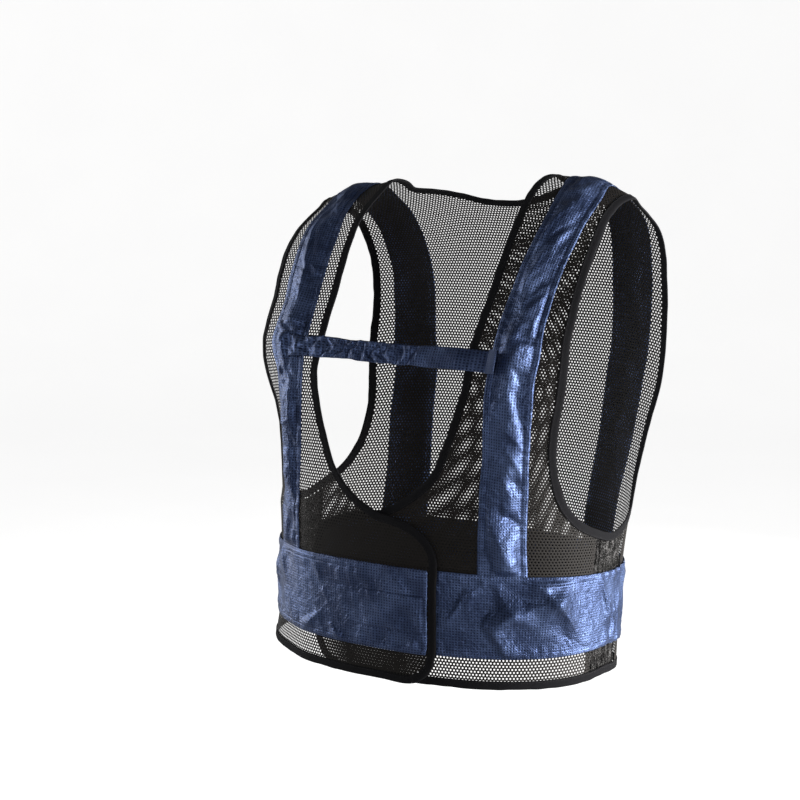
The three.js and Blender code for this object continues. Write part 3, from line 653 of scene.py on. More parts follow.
def net_panel(name, half, side, inside, node):
    """The net over the places of one half where inside(side, turn, down) holds, and its area in m2."""
    downs, turns, widths = width_table(half)
    row_downs = np.linspace(0, 1, LENGTH_ROWS)
    row_lengths = arc_lengths(cloth(LENGTH_TURN, half * row_downs))
    rows = np.arange(0, int(row_lengths[-1] / ROW_STEP) + 1)
    reach = int(np.abs(widths).max() / NET_PITCH) + 1
    r, c = np.meshgrid(rows, np.arange(-reach, reach + 1), indexing="ij")
    centre_x, centre_y = ((c + 0.5 * (r % 2)) * NET_PITCH).ravel(), (r * ROW_STEP).ravel()
    corner = np.radians(np.arange(6) * 60 + 30)
    radius = NET_PITCH / math.sqrt(3)

    def to_place(x, y):
        down = np.interp(y, row_lengths, row_downs)
        at = down * (len(downs) - 1)
        low = np.clip(at.astype(int), 0, len(downs) - 2)
        turn_low, turn_high = np.empty_like(x), np.empty_like(x)
        for k in np.unique(low):
            here = low == k
            turn_low[here] = np.interp(x[here], widths[k], turns)
            turn_high[here] = np.interp(x[here], widths[k + 1], turns)
        return mix(turn_low, turn_high, at - low), down

    kept = inside(side, *to_place(centre_x, centre_y))
    x, y = centre_x[kept], centre_y[kept]
    outer_x, hole_x = (x[:, None] + radius * share * np.cos(corner) for share in (1, NET_HOLE))
    outer_y, hole_y = (y[:, None] + radius * share * np.sin(corner) for share in (1, NET_HOLE))
    # Cells share their corners, found by rounding to a fine lattice.
    lattice = NET_PITCH / 2, ROW_STEP / 3
    keys = np.round(np.stack([outer_x / lattice[0], outer_y / lattice[1]], -1)).astype(int).reshape(-1, 2)
    unique, index = np.unique(keys, axis=0, return_inverse=True)
    index = index.reshape(-1, 6)
    all_x = np.concatenate([unique[:, 0] * NET_PITCH / 2, hole_x.ravel()])
    all_y = np.concatenate([unique[:, 1] * ROW_STEP / 3, hole_y.ravel()])
    turn, down = to_place(all_x, all_y)
    ridge = np.concatenate([np.full(len(unique), NET_RIDGE), np.zeros(hole_x.size)])
    over = stand_off(side, turn, down) if half > 0 else 0
    points = raised(turn, half * down, NET_LIFT + over + ridge)
    hole_index = len(unique) + np.arange(hole_x.size).reshape(-1, 6)
    after, hole_after = (np.roll(corners, -1, axis=1) for corners in (index, hole_index))
    quads = np.stack([index, after, hole_after, hole_index], -1).reshape(-1, 4)
    if half < 0:
        quads = quads[:, ::-1]
    obj = piece(name, points, quads, np.stack([all_x, all_y], -1), NET, "net", node)
    return obj, len(x) * NET_PITCH * ROW_STEP * MM * MM


NET_TUCK = 3.5                 # how far the net runs into the folded tape
DEGREE_WIDTH = 3.0             # of cloth at the front edge
ARM_TUCK = 1.1                 # degrees that it runs into the armhole's tape
SIDE_TUCK = 0.3                # and into the side seam
HEM_TUCK = 0.006               # share of the cloth
UNDER_ARM = (0.66, 0.725)      # shares down the cloth where the armhole's edge turns across
BACK_STRAP_TURN = 26           # beyond this the back reaches up to the shoulder line
BACK_NECK_TOP = 0.06


def net_bounds(side_turn, down):
    tuck = np.where(down > SIDE_SEAM_TOP, SIDE_TUCK, ARM_TUCK)
    return (side_turn < outer_seam(down) + tuck) & (down < HEM_SEAM + HEM_TUCK)


def in_front(side, turn, down):
    inner = side * (turn - front_seam(side, down)) > -NET_TUCK / DEGREE_WIDTH
    low, high = UNDER_ARM
    in_armhole = (down < high) & (down > low) & (side * turn > look_up(ARM_SEAM, down) + ARM_TUCK)
    return inner & net_bounds(side * turn, down) & ~in_armhole


def in_back(side, turn, down):
    reach = np.abs(turn)
    open_neck = (reach <= BACK_NECK[-1, 0]) & (down < look_up(BACK_NECK, reach) - HEM_TUCK)
    own = turn >= 0 if side > 0 else turn < 0
    return own & net_bounds(reach, down) & ~open_neck & ((reach > BACK_STRAP_TURN) | (down > BACK_NECK_TOP))


def net_sheets():
    for side, word, flat in ((1, "left", (0.25, 0.53)), (-1, "right", (0.24, 0.53))):
        obj, cut = net_panel(f"front_net_{word}", 1, side, in_front, f"front_mesh_{word}")
    for side, word in ((1, "left"), (-1, "right")):
        obj, cut = net_panel(f"back_net_{word}", -1, side, in_back, "back_mesh")


# Tape round an edge

TAPE_PITCH = 2.4
TAPE_WANDER = 0.35
# out from the seam, and up as a share of half the thickness
TAPE_TOP = [
    (0.0, 0.62), (0.35, 0.98), (1.1, 0.86), (TAPE_WIDTH * 0.5, 0.92), (TAPE_WIDTH - 1.6, 0.95),
    (TAPE_WIDTH - 0.45, 0.62),
]
TAPE_SECTION = np.array(TAPE_TOP + [(TAPE_WIDTH, 0.0)] + [(out, -up) for out, up in TAPE_TOP[::-1]])
TAPE_STITCH_LINE = 1.3    # from the seam


def smooth_path(points, normals):
    """A closed run of points brought to an even pitch on a smooth curve."""
    points, normals = (np.concatenate([a[-2:], a, a[:3]]) for a in (points, normals))
    lengths = arc_lengths(points)
    low, high = lengths[2], lengths[-3]
    at = np.linspace(low, high, max(int((high - low) / TAPE_PITCH), 4) + 1)[:-1]
    values = hermite(lengths, np.concatenate([points, normals], -1), at)
    return values[:, :3], unit(values[:, 3:])


def tape_piece(name, points, normals, away, closed, node, seed):
    """A tape folded over the edge: a rounded section swept along the seam. Gives its line of stitches."""
    before, after = np.roll(points, 1, axis=0), np.roll(points, -1, axis=0)
    if not closed:
        before[0], after[-1] = points[0], points[-1]
    outward = unit(np.cross(unit(after - before), normals)) * away
    lengths = arc_lengths(points)
    wave = TAPE_WANDER * lattice_noise(lengths / 9, lengths * 0 + seed, seed)
    wave = wave * np.minimum(1, np.minimum(lengths, lengths[-1] - lengths) / 15)
    half = TAPE_THICKNESS / 2
    section_out, section_up = TAPE_SECTION.T
    out = section_out + wave[:, None] * (section_out / TAPE_WIDTH)
    up = section_up[None, :] * half + NET_THICKNESS / 2
    ring = points[:, None] + outward[:, None] * out[..., None] + normals[:, None] * up[..., None]
    rings, sides = ring.shape[:2]
    index = np.arange(rings * sides).reshape(rings, sides)
    here, there = (index, np.roll(index, -1, axis=0)) if closed else (index[:-1], index[1:])
    quads = np.stack([here, np.roll(here, -1, axis=1), np.roll(there, -1, axis=1), there], -1)
    quads = quads.reshape(-1, 4)
    if not closed:
        caps = []
        for ids, flip in ((index[0], False), (index[-1], True)):
            for k in range(1, sides // 2):
                quad = [ids[k - 1], ids[k], ids[sides - 1 - k], ids[sides - k]]
                caps.append(quad[::-1] if flip else quad)
        quads = np.concatenate([quads, np.array(caps)])
    uv = np.stack(np.broadcast_arrays(lengths[:, None], arc_lengths(TAPE_SECTION)[None, :]), -1)
    obj = piece(name, ring.reshape(-1, 3), quads, uv.reshape(-1, 2), TAPE, "tape", node)
    fix_normals(obj)
    return points + outward * TAPE_STITCH_LINE + normals * (NET_THICKNESS / 2 + half * 0.9), normals


def fix_normals(obj):
    bm = bmesh.new()
    bm.from_mesh(obj.data)
    bmesh.ops.recalc_face_normals(bm, faces=bm.faces)
    bm.to_mesh(obj.data)
    bm.free()


def arm_path(side):
    front = [(side * t, d) for d, t in ARM_SEAM]
    back = [(side * t, -d) for d, t in ARM_SEAM[1:-1][::-1]]
    turn, down = np.array(front + back).T
    return raised(turn, down, 0), cloth_normal(turn, down)


# Shares down the front's edge: the seams' own rows and two more on the straight part of the flap.
FRONT_EDGE_DOWNS = np.sort(np.concatenate([ARM_SEAM[:17, 0], FLAP_SEAM[:, 0], [0.820, 0.875]]))
SHOULDER_POINT = (27.7, 0.03)     # turn and share down the back, beside the shoulder line
HEM_POINTS = 38


def edge_paths():
    """The neck's and the hem's edge as one closed run, and how many of its points are the neck's."""
    def front(side):
        turn = front_seam(side, FRONT_EDGE_DOWNS)
        return turn, FRONT_EDGE_DOWNS, stand_off(side, turn, FRONT_EDGE_DOWNS)

    right = [a[::-1] for a in front(-1)]
    left = front(1)
    point_turn, point_down = SHOULDER_POINT
    across = BACK_NECK[:-1, 0]
    neck_turn = np.concatenate([[-point_turn], -across[:0:-1], across, [point_turn]])
    rows = BACK_NECK[:-1, 1]
    neck_down = -np.concatenate([[point_down], rows[:0:-1], rows, [point_down]])
    neck = [np.concatenate(parts) for parts in zip(right, (neck_turn, neck_down, 0 * neck_turn), left)]
    first, last = float(front_seam(1, HEM_SEAM)), 360 + float(front_seam(-1, HEM_SEAM))
    around = np.linspace(first, last, HEM_POINTS)[1:-1]
    turn = np.where(around > 180, around - 360, around)
    hem_lift = np.where(around > 180, stand_off(-1, turn, HEM_SEAM), 0)
    hem = [turn, np.full(len(turn), HEM_SEAM), hem_lift]
    turn, down, lift = (np.concatenate([a, b]) for a, b in zip(neck, hem))
    return raised(turn, down, lift), cloth_normal(turn, down), len(neck[0])


def tapes():
    lines = []
    for side, word, seed in ((1, "left", 3), (-1, "right", 4)):
        lines.append(tape_piece(f"armhole_tape_{word}", *smooth_path(*arm_path(side)), -side, True,
                                f"armhole_binding_{word}", seed))
    points, normals, neck_count = edge_paths()
    path, path_normals = smooth_path(points, normals)
    # The neck's tape ends where the hem's begins, at the two lower flap corners.
    corner = int(np.argmin(np.linalg.norm(path - points[neck_count - 1], axis=-1)))
    neck = [a[:corner + 1] for a in (path, path_normals)]
    hem = [np.concatenate([a[corner:], a[:1]]) for a in (path, path_normals)]
    lines.append(tape_piece("neck_tape", *neck, 1, False, "neck_binding", 5))
    lines.append(tape_piece("hem_tape", *hem, 1, False, "hem_binding", 6))
    stitches("tape_stitches", lines, BLACK_THREAD, "tape", 2.8)


# Ducts

DUCT_BASE = NET_THICKNESS + LAYER_GAP * 0.4
DUCT_SEAM = 6.6          # from a duct's edge to its stitching

# down, inner edge and outer edge in millimetres from the duct's middle line
NEAR_DUCT_EDGES = np.array([
    (0.00, -16, 26), (0.07, -15.5, 26), (0.12, -16, 25), (0.17, -16.5, 23), (0.22, -18, 21.5),
    (0.27, -20, 21), (0.32, -21, 21.8), (0.37, -21, 22.2), (0.42, -20, 24), (0.47, -18, 26),
    (0.53, -17, 26), (0.63, -17.2, 26.6), (0.685, -17.1, 27), (0.73, -17, 28), (0.80, -17.3, 28.6),
])
FAR_DUCT_EDGES = np.array([
    (0.00, -16, 26), (0.07, -16, 24), (0.12, -19.5, 21), (0.17, -24, 22), (0.22, -24, 21.5),
    (0.27, -22.5, 22.7), (0.32, -21.8, 24), (0.37, -22.5, 24.5), (0.42, -23.3, 26.5),
    (0.47, -23.4, 20.5), (0.53, -23.9, 23.5), (0.58, -22.3, 24.5), (0.63, -19.5, 24),
    (0.685, -17.5, 24), (0.73, -19, 24), (0.80, -19.8, 25),
])
BACK_DUCT_EDGES = np.array([
    (0.00, -16, 26), (0.07, -18, 25), (0.14, -22, 24), (0.24, -23.5, 23.5), (0.80, -23.5, 23.5),
])

NEAR_DUCT_FOLDS = [
    # across from the middle, down the front from the shoulder line, slant, length, width, rise, skew
    (-6, 96, -73, 84, 6, 2.6, 0.3), (-5, 138, -78, 54, 5, 2.2, 0.2), (-4, 116, -72, 54, 9, -1.8, 0.0),
    (4, 151, -79, 65, 10, -1.6, 0.0), (16, 165, -83, 74, 12, 3.4, -0.4), (15, 201, -12, 20, 8, -5.5, 0.4),
    (-17, 155, -78, 18, 6, 1.8, 0.2), (17, 242, 46, 36, 9, -7.0, 0.5), (18, 265, 71, 40, 10, -6.5, 0.3),
    (8, 264, 75, 56, 10, 2.8, -0.3), (9, 288, 40, 22, 5, 2.2, 0.5), (13, 311, 52, 30, 8, 2.6, 0.3),
    (19, 333, 37, 18, 9, -5.0, 0.2), (1, 343, 81, 50, 10, -2.0, 0.0), (14, 366, 24, 18, 8, -4.6, 0.2),
    (5, 392, 64, 66, 28, 9.0, -0.2), (-11, 402, 66, 52, 20, -6.0, 0.0), (8, 62, 100, 50, 10, 1.8, 0.3),
    (0, 30, 80, 40, 12, 1.2, 0.0), (-2, -90, 80, 90, 12, 2.4, 0.3), (4, -190, 100, 90, 12, 2.4, -0.3),
    (-4, -280, 70, 70, 10, 2.2, 0.3), (6, -350, 110, 70, 12, 2.4, 0.2),
]
FAR_DUCT_FOLDS = [
    (2, 128, -86, 104, 7, 2.6, 0.3), (-19, 136, -82, 85, 5, 2.0, 0.3), (16, 125, 90, 76, 6, 2.2, 0.0),
    (-3, 126, -83, 105, 10, -1.8, 0.0), (5, 205, 14, 34, 8, 3.4, 0.3), (2, 220, 18, 32, 7, 3.0, 0.3),
    (6, 204, -37, 22, 6, -2.4, 0.3), (4, 213, 18, 26, 5, -2.2, 0.3), (8, 318, -20, 30, 7, -3.2, 0.3),
    (-10, 279, -86, 54, 9, 1.8, 0.3), (-5, 359, -58, 36, 13, 3.4, 0.4), (-2, 393, -45, 38, 14, -3.2, 0.2),
    (-11, 394, 85, 40, 7, 2.8, 0.3), (4, 299, 10, 33, 4, 1.4, 0.3), (4, 60, 80, 60, 10, 1.6, 0.3),
    (2, -90, 100, 90, 12, 2.4, 0.3), (-4, -190, 80, 90, 12, 2.4, -0.3), (4, -280, 110, 70, 10, 2.2, 0.3),
    (-6, -350, 70, 70, 12, 2.4, 0.2),
]
DUCT_STYLE = {1: (NEAR_DUCT_EDGES, NEAR_DUCT_FOLDS), -1: (FAR_DUCT_EDGES, FAR_DUCT_FOLDS)}
PINCH = {1: 0.35, -1: 0.8}        # how much the chest strap presses each duct
DUCT_PITCH = 1.7
DUCT_TUCK = 3                     # how far the duct runs under the band
EDGE_WANDER = 0.7
DUCT_CRUMPLE = (1.0, 1.1)         # over the shoulder, and what is added below it
CRUMPLE_SIZE = 36
SEAM_PUCKER = 0.8                 # beside the seam
RIM_PUCKER = 0.45                 # between the seam and the edge
DUCT_LOWEST = -0.3                # the cloth sinks no deeper below its base


def duct_frame(side, down):
    """Turn of a duct's middle line, and the distances of its inner and outer edge from there."""
    position = np.abs(down)
    middle = curve(DUCT_ROWS, position)[..., 0]
    front, back = (curve(edges, position) for edges in (DUCT_STYLE[side][0], BACK_DUCT_EDGES))
    chosen = np.where((np.asarray(down) < 0)[..., None], back, front)
    return middle, chosen[..., 0], chosen[..., 1]


def shoulder_duct(side, word, seed):
    end = BAND_TOP + DUCT_TUCK / CLOTH_LENGTH
    half_rows = np.linspace(0, end, int(end * CLOTH_LENGTH / DUCT_PITCH))
    downs = np.concatenate([-half_rows[:0:-1], half_rows])
    half_width = DUCT_WIDTH / 2
    across_mm = spaced(DUCT_WIDTH, DUCT_PITCH, (DUCT_SEAM, DUCT_WIDTH - DUCT_SEAM)) - half_width
    down, out = np.meshgrid(downs, across_mm, indexing="ij")
    across = out / half_width
    along = down * CLOTH_LENGTH
    middle, inner_edge, outer_edge = duct_frame(side, down)
    distance = mix(inner_edge, outer_edge, (across + 1) / 2)
    wander = lattice_noise(along / 26, across * 0 + 3 * np.sign(across), seed)
    distance += EDGE_WANDER * wander * np.abs(across)
    turn = side * sideways(middle, down, distance)
    from_edge = half_width - np.abs(out)
    puffed = np.clip((from_edge - DUCT_SEAM) / (half_width - DUCT_SEAM), 0, 1)
    crown = DUCT_CROWN * curve(DUCT_ROWS, np.abs(down))[..., 1] * (1 - (1 - puffed) ** 2) ** 1.25
    inside = smoothstep(from_edge, DUCT_SEAM - 0.5, DUCT_SEAM + 5)
    body = folds(distance, along, DUCT_STYLE[side][1]) * inside
    least, more = DUCT_CRUMPLE
    rough = least + more * smoothstep(np.abs(along), 5, 60)
    body += rough * crumple(out, along, seed, CRUMPLE_SIZE) * inside
    pucker = lattice_noise(along / 4.2, np.sign(across) * 3 + 0 * along, seed + 40)
    body += SEAM_PUCKER * pucker * np.exp(-((from_edge - DUCT_SEAM - 2.5) / 4.0) ** 2)
    body += RIM_PUCKER * pucker * (from_edge < DUCT_SEAM) * smoothstep(from_edge, 0, 3)
    under_strap = np.exp(-((along - STRAP_DOWN * CLOTH_LENGTH) / (STRAP_HEIGHT * 0.55)) ** 4)
    beside_end = smoothstep(inner_edge + STRAP_ON_DUCT[side] + 7 - distance, 0, 6)
    pressed = 1 - PINCH[side] * under_strap * beside_end
    tucked = smoothstep(end * CLOTH_LENGTH - np.abs(along), 2, 11)
    body = np.maximum((crown + body) * pressed, DUCT_LOWEST) * tucked
    body += seam_groove(from_edge - DUCT_SEAM, 0.28, 0.4)
    lift = DUCT_BASE + body + stand_off(side, turn, down)
    outer = raised(turn, down, lift + DUCT_THICKNESS * thinned(from_edge))
    inner = raised(turn, down, lift)
    obj = thick_sheet(f"duct_{word}", outer, inner, (out, along), RIPSTOP, "shell", f"shoulder_duct_{word}")
    lines = []
    for seam in (DUCT_SEAM, DUCT_WIDTH - DUCT_SEAM):
        column = np.argmin(np.abs(across_mm + half_width - seam))
        lines.append((outer[:, column], cloth_normal(turn[:, column], down[:, column])))
    thread = stitches(f"duct_stitches_{word}", lines, BLUE_THREAD, "shell")


# Waist band

BAND_LIFT = NET_THICKNESS + LAYER_GAP
BAND_SIDE_TURN = 96
BAND_MIDDLE = BAND_TOP + BAND_HEIGHT / 2 / CLOTH_LENGTH
BAND_SEAMS = (2.2, 6.2, BAND_HEIGHT - 6.2, BAND_HEIGHT - 2.2)
BAND_CRUMPLE = 1.7
BAND_PUCKER = 0.75
BAND_LOWEST = -0.7
FRONT_BAND_PITCH = (1.8, 1.9)     # across and down
BACK_BAND_PITCH = (2.0, 2.0)
SIDE_GATHERS = {"front": 0.9, "back": 1.1}

# millimetres from the side end of the band towards the front, and down the band
LEFT_BAND_FOLDS = [
    (127, 32, 22, 88, 34, 13.0, -0.1), (156, 65, -62, 44, 10, 5.0, 0.3), (167, 69, -65, 38, 16, -3.6, 0.0),
    (106, 25, -50, 74, 18, 9.0, 0.35), (137, 19, -50, 46, 20, -5.0, 0.0), (155, 27, -40, 42, 12, 2.8, 0.3),
    (161, 23, -42, 46, 5, -1.8, 0.4), (87, 68, -52, 32, 9, -3.0, 0.3), (54, 31, -65, 64, 9, -3.2, 0.0),
    (27, 31, -64, 58, 7, 3.0, 0.3), (15, 29, -61, 50, 7, -2.8, 0.0), (29, 56, -29, 25, 7, -2.4, 0.0),
    (32, 66, -8, 24, 7, -1.4, 0.0), (52, 77, -2, 48, 7, -2.4, 0.0), (8, 68, 68, 30, 16, 2.0, 0.0),
    (185, 40, 70, 50, 12, 1.4, 0.2), (205, 56, -40, 40, 10, -1.8, 0.2),
]
RIGHT_BAND_FOLDS = [
    (131, 34, 87, 52, 11, -5.6, 0.3), (148, 25, 71, 42, 9, 5.4, 0.4), (162, 57, 69, 36, 8, 2.8, 0.3),
    (195, 56, -37, 34, 11, -7.0, 0.4), (198, 65, -45, 30, 9, 3.0, 0.3), (215, 21, -49, 34, 7, -1.6, 0.3),
    (224, 72, 40, 22, 9, 3.2, 0.2), (231, 67, 41, 24, 11, -4.0, 0.2), (302, 69, -55, 24, 9, 2.0, 0.3),
    (112, 42, -82, 46, 6, 2.4, 0.3), (70, 44, 74, 80, 9, 2.6, 0.3), (40, 40, 95, 80, 9, 2.2, 0.3),
]
BACK_BAND_FOLDS = [
    (60, 40, 80, 80, 12, 2.0, 0.3), (130, 38, 60, 70, 14, 2.0, 0.3), (210, 44, -50, 80, 14, 2.2, 0.3),
    (290, 38, 95, 70, 12, 1.8, 0.2),
]
BAND_STYLE = {1: (LEFT_BAND_FOLDS, (56, 46)), -1: (RIGHT_BAND_FOLDS, (170, 16))}  # folds, and the calm part
PATCH = (3, 88, 25, 60)       # the sewn patch behind the closing end: from and to, across and down
PATCH_RISE = 0.6
FLAP_END = (-110, -70)        # over the last part of the flap the cloth is calmer
FLAP_ROUGHNESS = 0.75


def band_edge(below):
    return np.minimum(below, BAND_HEIGHT - below)


def band_length(start, end, half, samples):
    middle = raised(np.linspace(start, end, samples), half * BAND_MIDDLE, BAND_LIFT)
    return float(np.linalg.norm(np.diff(middle, axis=0), axis=-1).sum())


def band_gathers(rise, across, below, seed):
    return rise * np.sin(across / 3.1 + 1.2 * lattice_noise(across / 9, below / 25, seed + 5))


def band_sheet(name, turn, down, lift, across, below, extra, seed, patch=None, rough=1.0):
    edge = band_edge(below)
    body = BAND_CRUMPLE * rough * crumple(across, below, seed, CRUMPLE_SIZE) * smoothstep(edge, 4, 14)
    pucker = BAND_PUCKER * lattice_noise(across / 4.6, 0 * across + 2, seed + 11)
    body += pucker * np.exp(-((edge - 8.5) / 5.0) ** 2)
    for seam in BAND_SEAMS:
        body += seam_groove(below - seam, 0.4, 0.5)
    body = np.maximum(body + extra, BAND_LOWEST)
    outer = raised(turn, down, lift + body + BAND_THICKNESS * thinned(edge))
    inner = raised(turn, down, lift + body)
    obj = thick_sheet(f"band_{name}", outer, inner, (across, below), RIPSTOP, "shell", f"waist_band_{name}")
    normals = cloth_normal(turn, down)

    def nearest(places, wanted):
        return int(np.argmin(np.abs(places - wanted)))

    parts = [np.s_[nearest(below[:, 0], seam)] for seam in BAND_SEAMS]
    if patch:
        first, last = (nearest(across[0], place) for place in patch[:2])
        top, bottom = (nearest(below[:, 0], place) for place in patch[2:])
        columns, rows = slice(first, last + 1), slice(top, bottom + 1)
        parts += [(top, columns), (bottom, columns), (rows, first), (rows, last)]
    lines = [(outer[part], normals[part]) for part in parts]
    thread = stitches(f"band_{name}_stitches", lines, BLUE_THREAD, "shell")


def front_band(side, word, seed):
    start = float(sideways(front_seam(side, BAND_MIDDLE), BAND_MIDDLE, side * SEAM_GAP))
    length = band_length(start, side * BAND_SIDE_TURN, 1, 200)
    patch = PATCH if side < 0 else ()
    pitch_across, pitch_down = FRONT_BAND_PITCH
    across_mm = spaced(length, pitch_across, patch[:2])
    below_mm = spaced(BAND_HEIGHT, pitch_down, BAND_SEAMS + patch[2:])
    below, from_flap = np.meshgrid(below_mm, across_mm, indexing="ij")
    down = BAND_TOP + below / CLOTH_LENGTH
    start = sideways(front_seam(side, down), down, side * SEAM_GAP)
    turn = mix(start, side * BAND_SIDE_TURN, from_flap / length)
    from_side = length - from_flap
    band_folds, (calm_place, calm_width) = BAND_STYLE[side]
    extra = folds(from_side, below, band_folds)
    extra = extra * smoothstep(band_edge(below), 0.5, 7) * smoothstep(from_flap, 0, 14)
    extra += band_gathers(SIDE_GATHERS["front"], from_side, below, seed) * smoothstep(-from_side, -46, -20)
    rough = 1.35 - 1.2 * np.exp(-((from_side - calm_place) / calm_width) ** 2)
    if patch:
        rough = rough * mix(1, FLAP_ROUGHNESS, smoothstep(-from_flap, *FLAP_END))
        low, high, top, bottom = patch
        box = np.maximum(np.abs(from_flap - (low + high) / 2) - (high - low) / 2,
                         np.abs(below - (top + bottom) / 2) - (bottom - top) / 2)
        extra += PATCH_RISE * smoothstep(-box, -1.0, 2.0) + seam_groove(box, 0.9, 0.7)
    lift = BAND_LIFT + stand_off(side, turn, down)
    band_sheet(word, turn, down, lift, from_flap, below, extra, seed,
               patch, rough)


def back_band(seed):
    start = float(sideways(180 - BAND_SIDE_TURN, -BAND_TOP, -SEAM_GAP))
    length = band_length(-start, start, -1, 300)
    pitch_across, pitch_down = BACK_BAND_PITCH
    below, across = np.meshgrid(spaced(BAND_HEIGHT, pitch_down, BAND_SEAMS), spaced(length, pitch_across),
                                indexing="ij")
    down = BAND_TOP + below / CLOTH_LENGTH
    turn = mix(-start, start, across / length)
    extra = band_gathers(SIDE_GATHERS["back"], across, below, seed)
    extra = extra * smoothstep(-np.minimum(across, length - across), -50, -20)
    extra = extra + folds(across, below, BACK_BAND_FOLDS) * smoothstep(band_edge(below), 1.5, 10)
    band_sheet("back", turn, -down, BAND_LIFT, across, below, extra, seed)


# Side elastic

ELASTIC_GRID = (90, 150)
ELASTIC_START_DOWN = 0.8      # share down the cloth where the side seam's place is taken
ELASTIC_OVERLAP = 1.0         # degrees that it runs under the nets
ELASTIC_FOLDS = ((1.3, 0.62, 1), (0.5, 1.7, -0.6))  # rise, waves, share of the sway
ELASTIC_SINK = 1.8            # how far it lies below the nets
ELASTIC_WALL = (-0.3, 0.6)
ELASTIC_TUCK = (0.002, 0.004) # below the armhole's edge and below the hem's seam, as shares of the cloth


def side_elastic(side, word, seed):
    start = float(sideways(SIDE_SEAM_TURN, ELASTIC_START_DOWN, SEAM_GAP / 2)) - ELASTIC_OVERLAP
    end = 180 - start
    rows, columns = ELASTIC_GRID
    turn_row = np.linspace(start, end, columns)
    folded = np.where(turn_row > 90, 180 - turn_row, turn_row)
    top_tuck, hem_tuck = ELASTIC_TUCK
    top = np.interp(folded, ARM_SEAM[-2:, 1], ARM_SEAM[-2:, 0]) + top_tuck
    turn = np.broadcast_to(turn_row, (rows, columns))
    down = mix(top[None, :], HEM_SEAM + hem_tuck, np.linspace(0, 1, rows)[:, None])
    across = (turn - start) / (end - start) * ELASTIC_WIDTH
    along = down * CLOTH_LENGTH
    sway = 2.2 * lattice_noise(across / 12, along / 30, seed)
    gather = sum(rise * fold_wave(across * waves + share * sway) for rise, waves, share in ELASTIC_FOLDS)
    gather += 0.9 * crumple(across * 1.5, along, seed + 1, 16)
    inner, outer = (raised(side * turn, down, gather - ELASTIC_SINK + wall) for wall in ELASTIC_WALL)
    obj = thick_sheet(f"elastic_{word}", outer, inner, (across, along), ELASTIC, "elastic",
                      f"side_elastic_{word}")


# Chest strap

STRAP_GRID = (22, 250)
STRAP_LENGTH = 194
STRAP_SEAM_ROW = 2            # rows from its long edges
STRAP_LIFT = 0.8
STRAP_SAG = -0.6


def strap_points(station, height_share, lift):
    """Places of the chest strap. The station runs from -1 on the right duct to 1 on the left one."""
    down = STRAP_DOWN + (0.5 - height_share) * STRAP_HEIGHT / CLOTH_LENGTH
    crown = look_up(DUCT_ROWS, down, 2)
    reach = np.abs(station)
    onto = np.clip((reach - STRAP_FREE_REACH) / (1 - STRAP_FREE_REACH), 0, 1)
    places = {}
    for side in (1, -1):
        middle, inner_edge, outer_edge = duct_frame(side, down)
        duct_edge = sideways(middle, down, inner_edge)
        end_turn = sideways(middle, down, inner_edge + STRAP_ON_DUCT[side])
        turn = mix(STRAP_FREE_TURN, end_turn, onto)
        past = np.clip((turn - duct_edge) / (end_turn - duct_edge), 0, 1) * STRAP_ON_DUCT[side]
        across = 2 * past / (outer_edge - inner_edge) - 1
        press = 1 - 0.5 * PINCH[side]
        duct = DUCT_BASE + DUCT_CROWN * press * crown * np.maximum(1 - across ** 2, 0) ** 0.8
        standing = DUCT_THICKNESS + STRAP_LIFT + duct + lift
        free = raised(side * STRAP_FREE_TURN, down, DUCT_THICKNESS + STRAP_LIFT + DUCT_BASE + lift)
        places[side] = raised(side * turn, down, standing), free
    spanned = mix(places[-1][1], places[1][1], ((station / STRAP_FREE_REACH + 1) / 2)[..., None])
    ended = np.where((station < 0)[..., None], places[-1][0], places[1][0])
    return np.where((reach > STRAP_FREE_REACH)[..., None], ended, spanned)


def chest_strap():
    rows, columns = STRAP_GRID
    height, station = np.meshgrid(np.linspace(0, 1, rows), np.linspace(-1, 1, columns), indexing="ij")
    across = (station + 1) * (STRAP_LENGTH / 2)
    up = height * STRAP_HEIGHT
    gathered = smoothstep(-station, -0.42, -0.2)
    wander = 2.4 * lattice_noise(across / 14, up / 9, 71)
    middle = 4 * height * (1 - height)
    ruffle = 2.1 * fold_wave(across / 2.2 - up * 0.16 + wander)
    ruffle += 0.8 * fold_wave(across / 1.1 + up * 0.22 + 1.7 * wander)
    body = gathered * ruffle * (0.3 + 0.7 * middle ** 0.7) + 0.4 * lattice_noise(across / 14, up / 9, 72)
    body += (1 - gathered) * 0.5 * lattice_noise(across / 20, up / 9, 73) + 1.0 * middle ** 0.5
    waist = 1 - 0.1 * gathered * lattice_noise(across / 11, 0 * up, 75) - 0.05 * gathered
    drop = 0.5 + (height - 0.5) * waist
    outer = strap_points(station, drop, body + 1.4)
    inner = strap_points(station, drop, body * 0.4 - 0.2)
    free = np.clip((station + STRAP_FREE_REACH) / (2 * STRAP_FREE_REACH), 0, 1)
    sag = STRAP_SAG * np.sin(np.pi * free)
    outer[..., 2] += sag
    inner[..., 2] += sag
    obj = thick_sheet("chest_strap_cloth", outer, inner, (across, up), RIPSTOP, "shell", "chest_strap")
    outward = unit(outer - inner)
    lines = [(outer[row], outward[row]) for row in (STRAP_SEAM_ROW, rows - 1 - STRAP_SEAM_ROW)]
    thread = stitches("chest_strap_stitches", lines, BLUE_THREAD, "shell", 2.4)


LOOP_GRID = (24, 9)
LOOP_SEAM_COLUMNS = (1, 7)
LOOP_OVERHANG = 0.04          # past the strap's long edges, as a share of its height
LOOP_LIFT = 2.7
LOOP_BULGE = 0.5


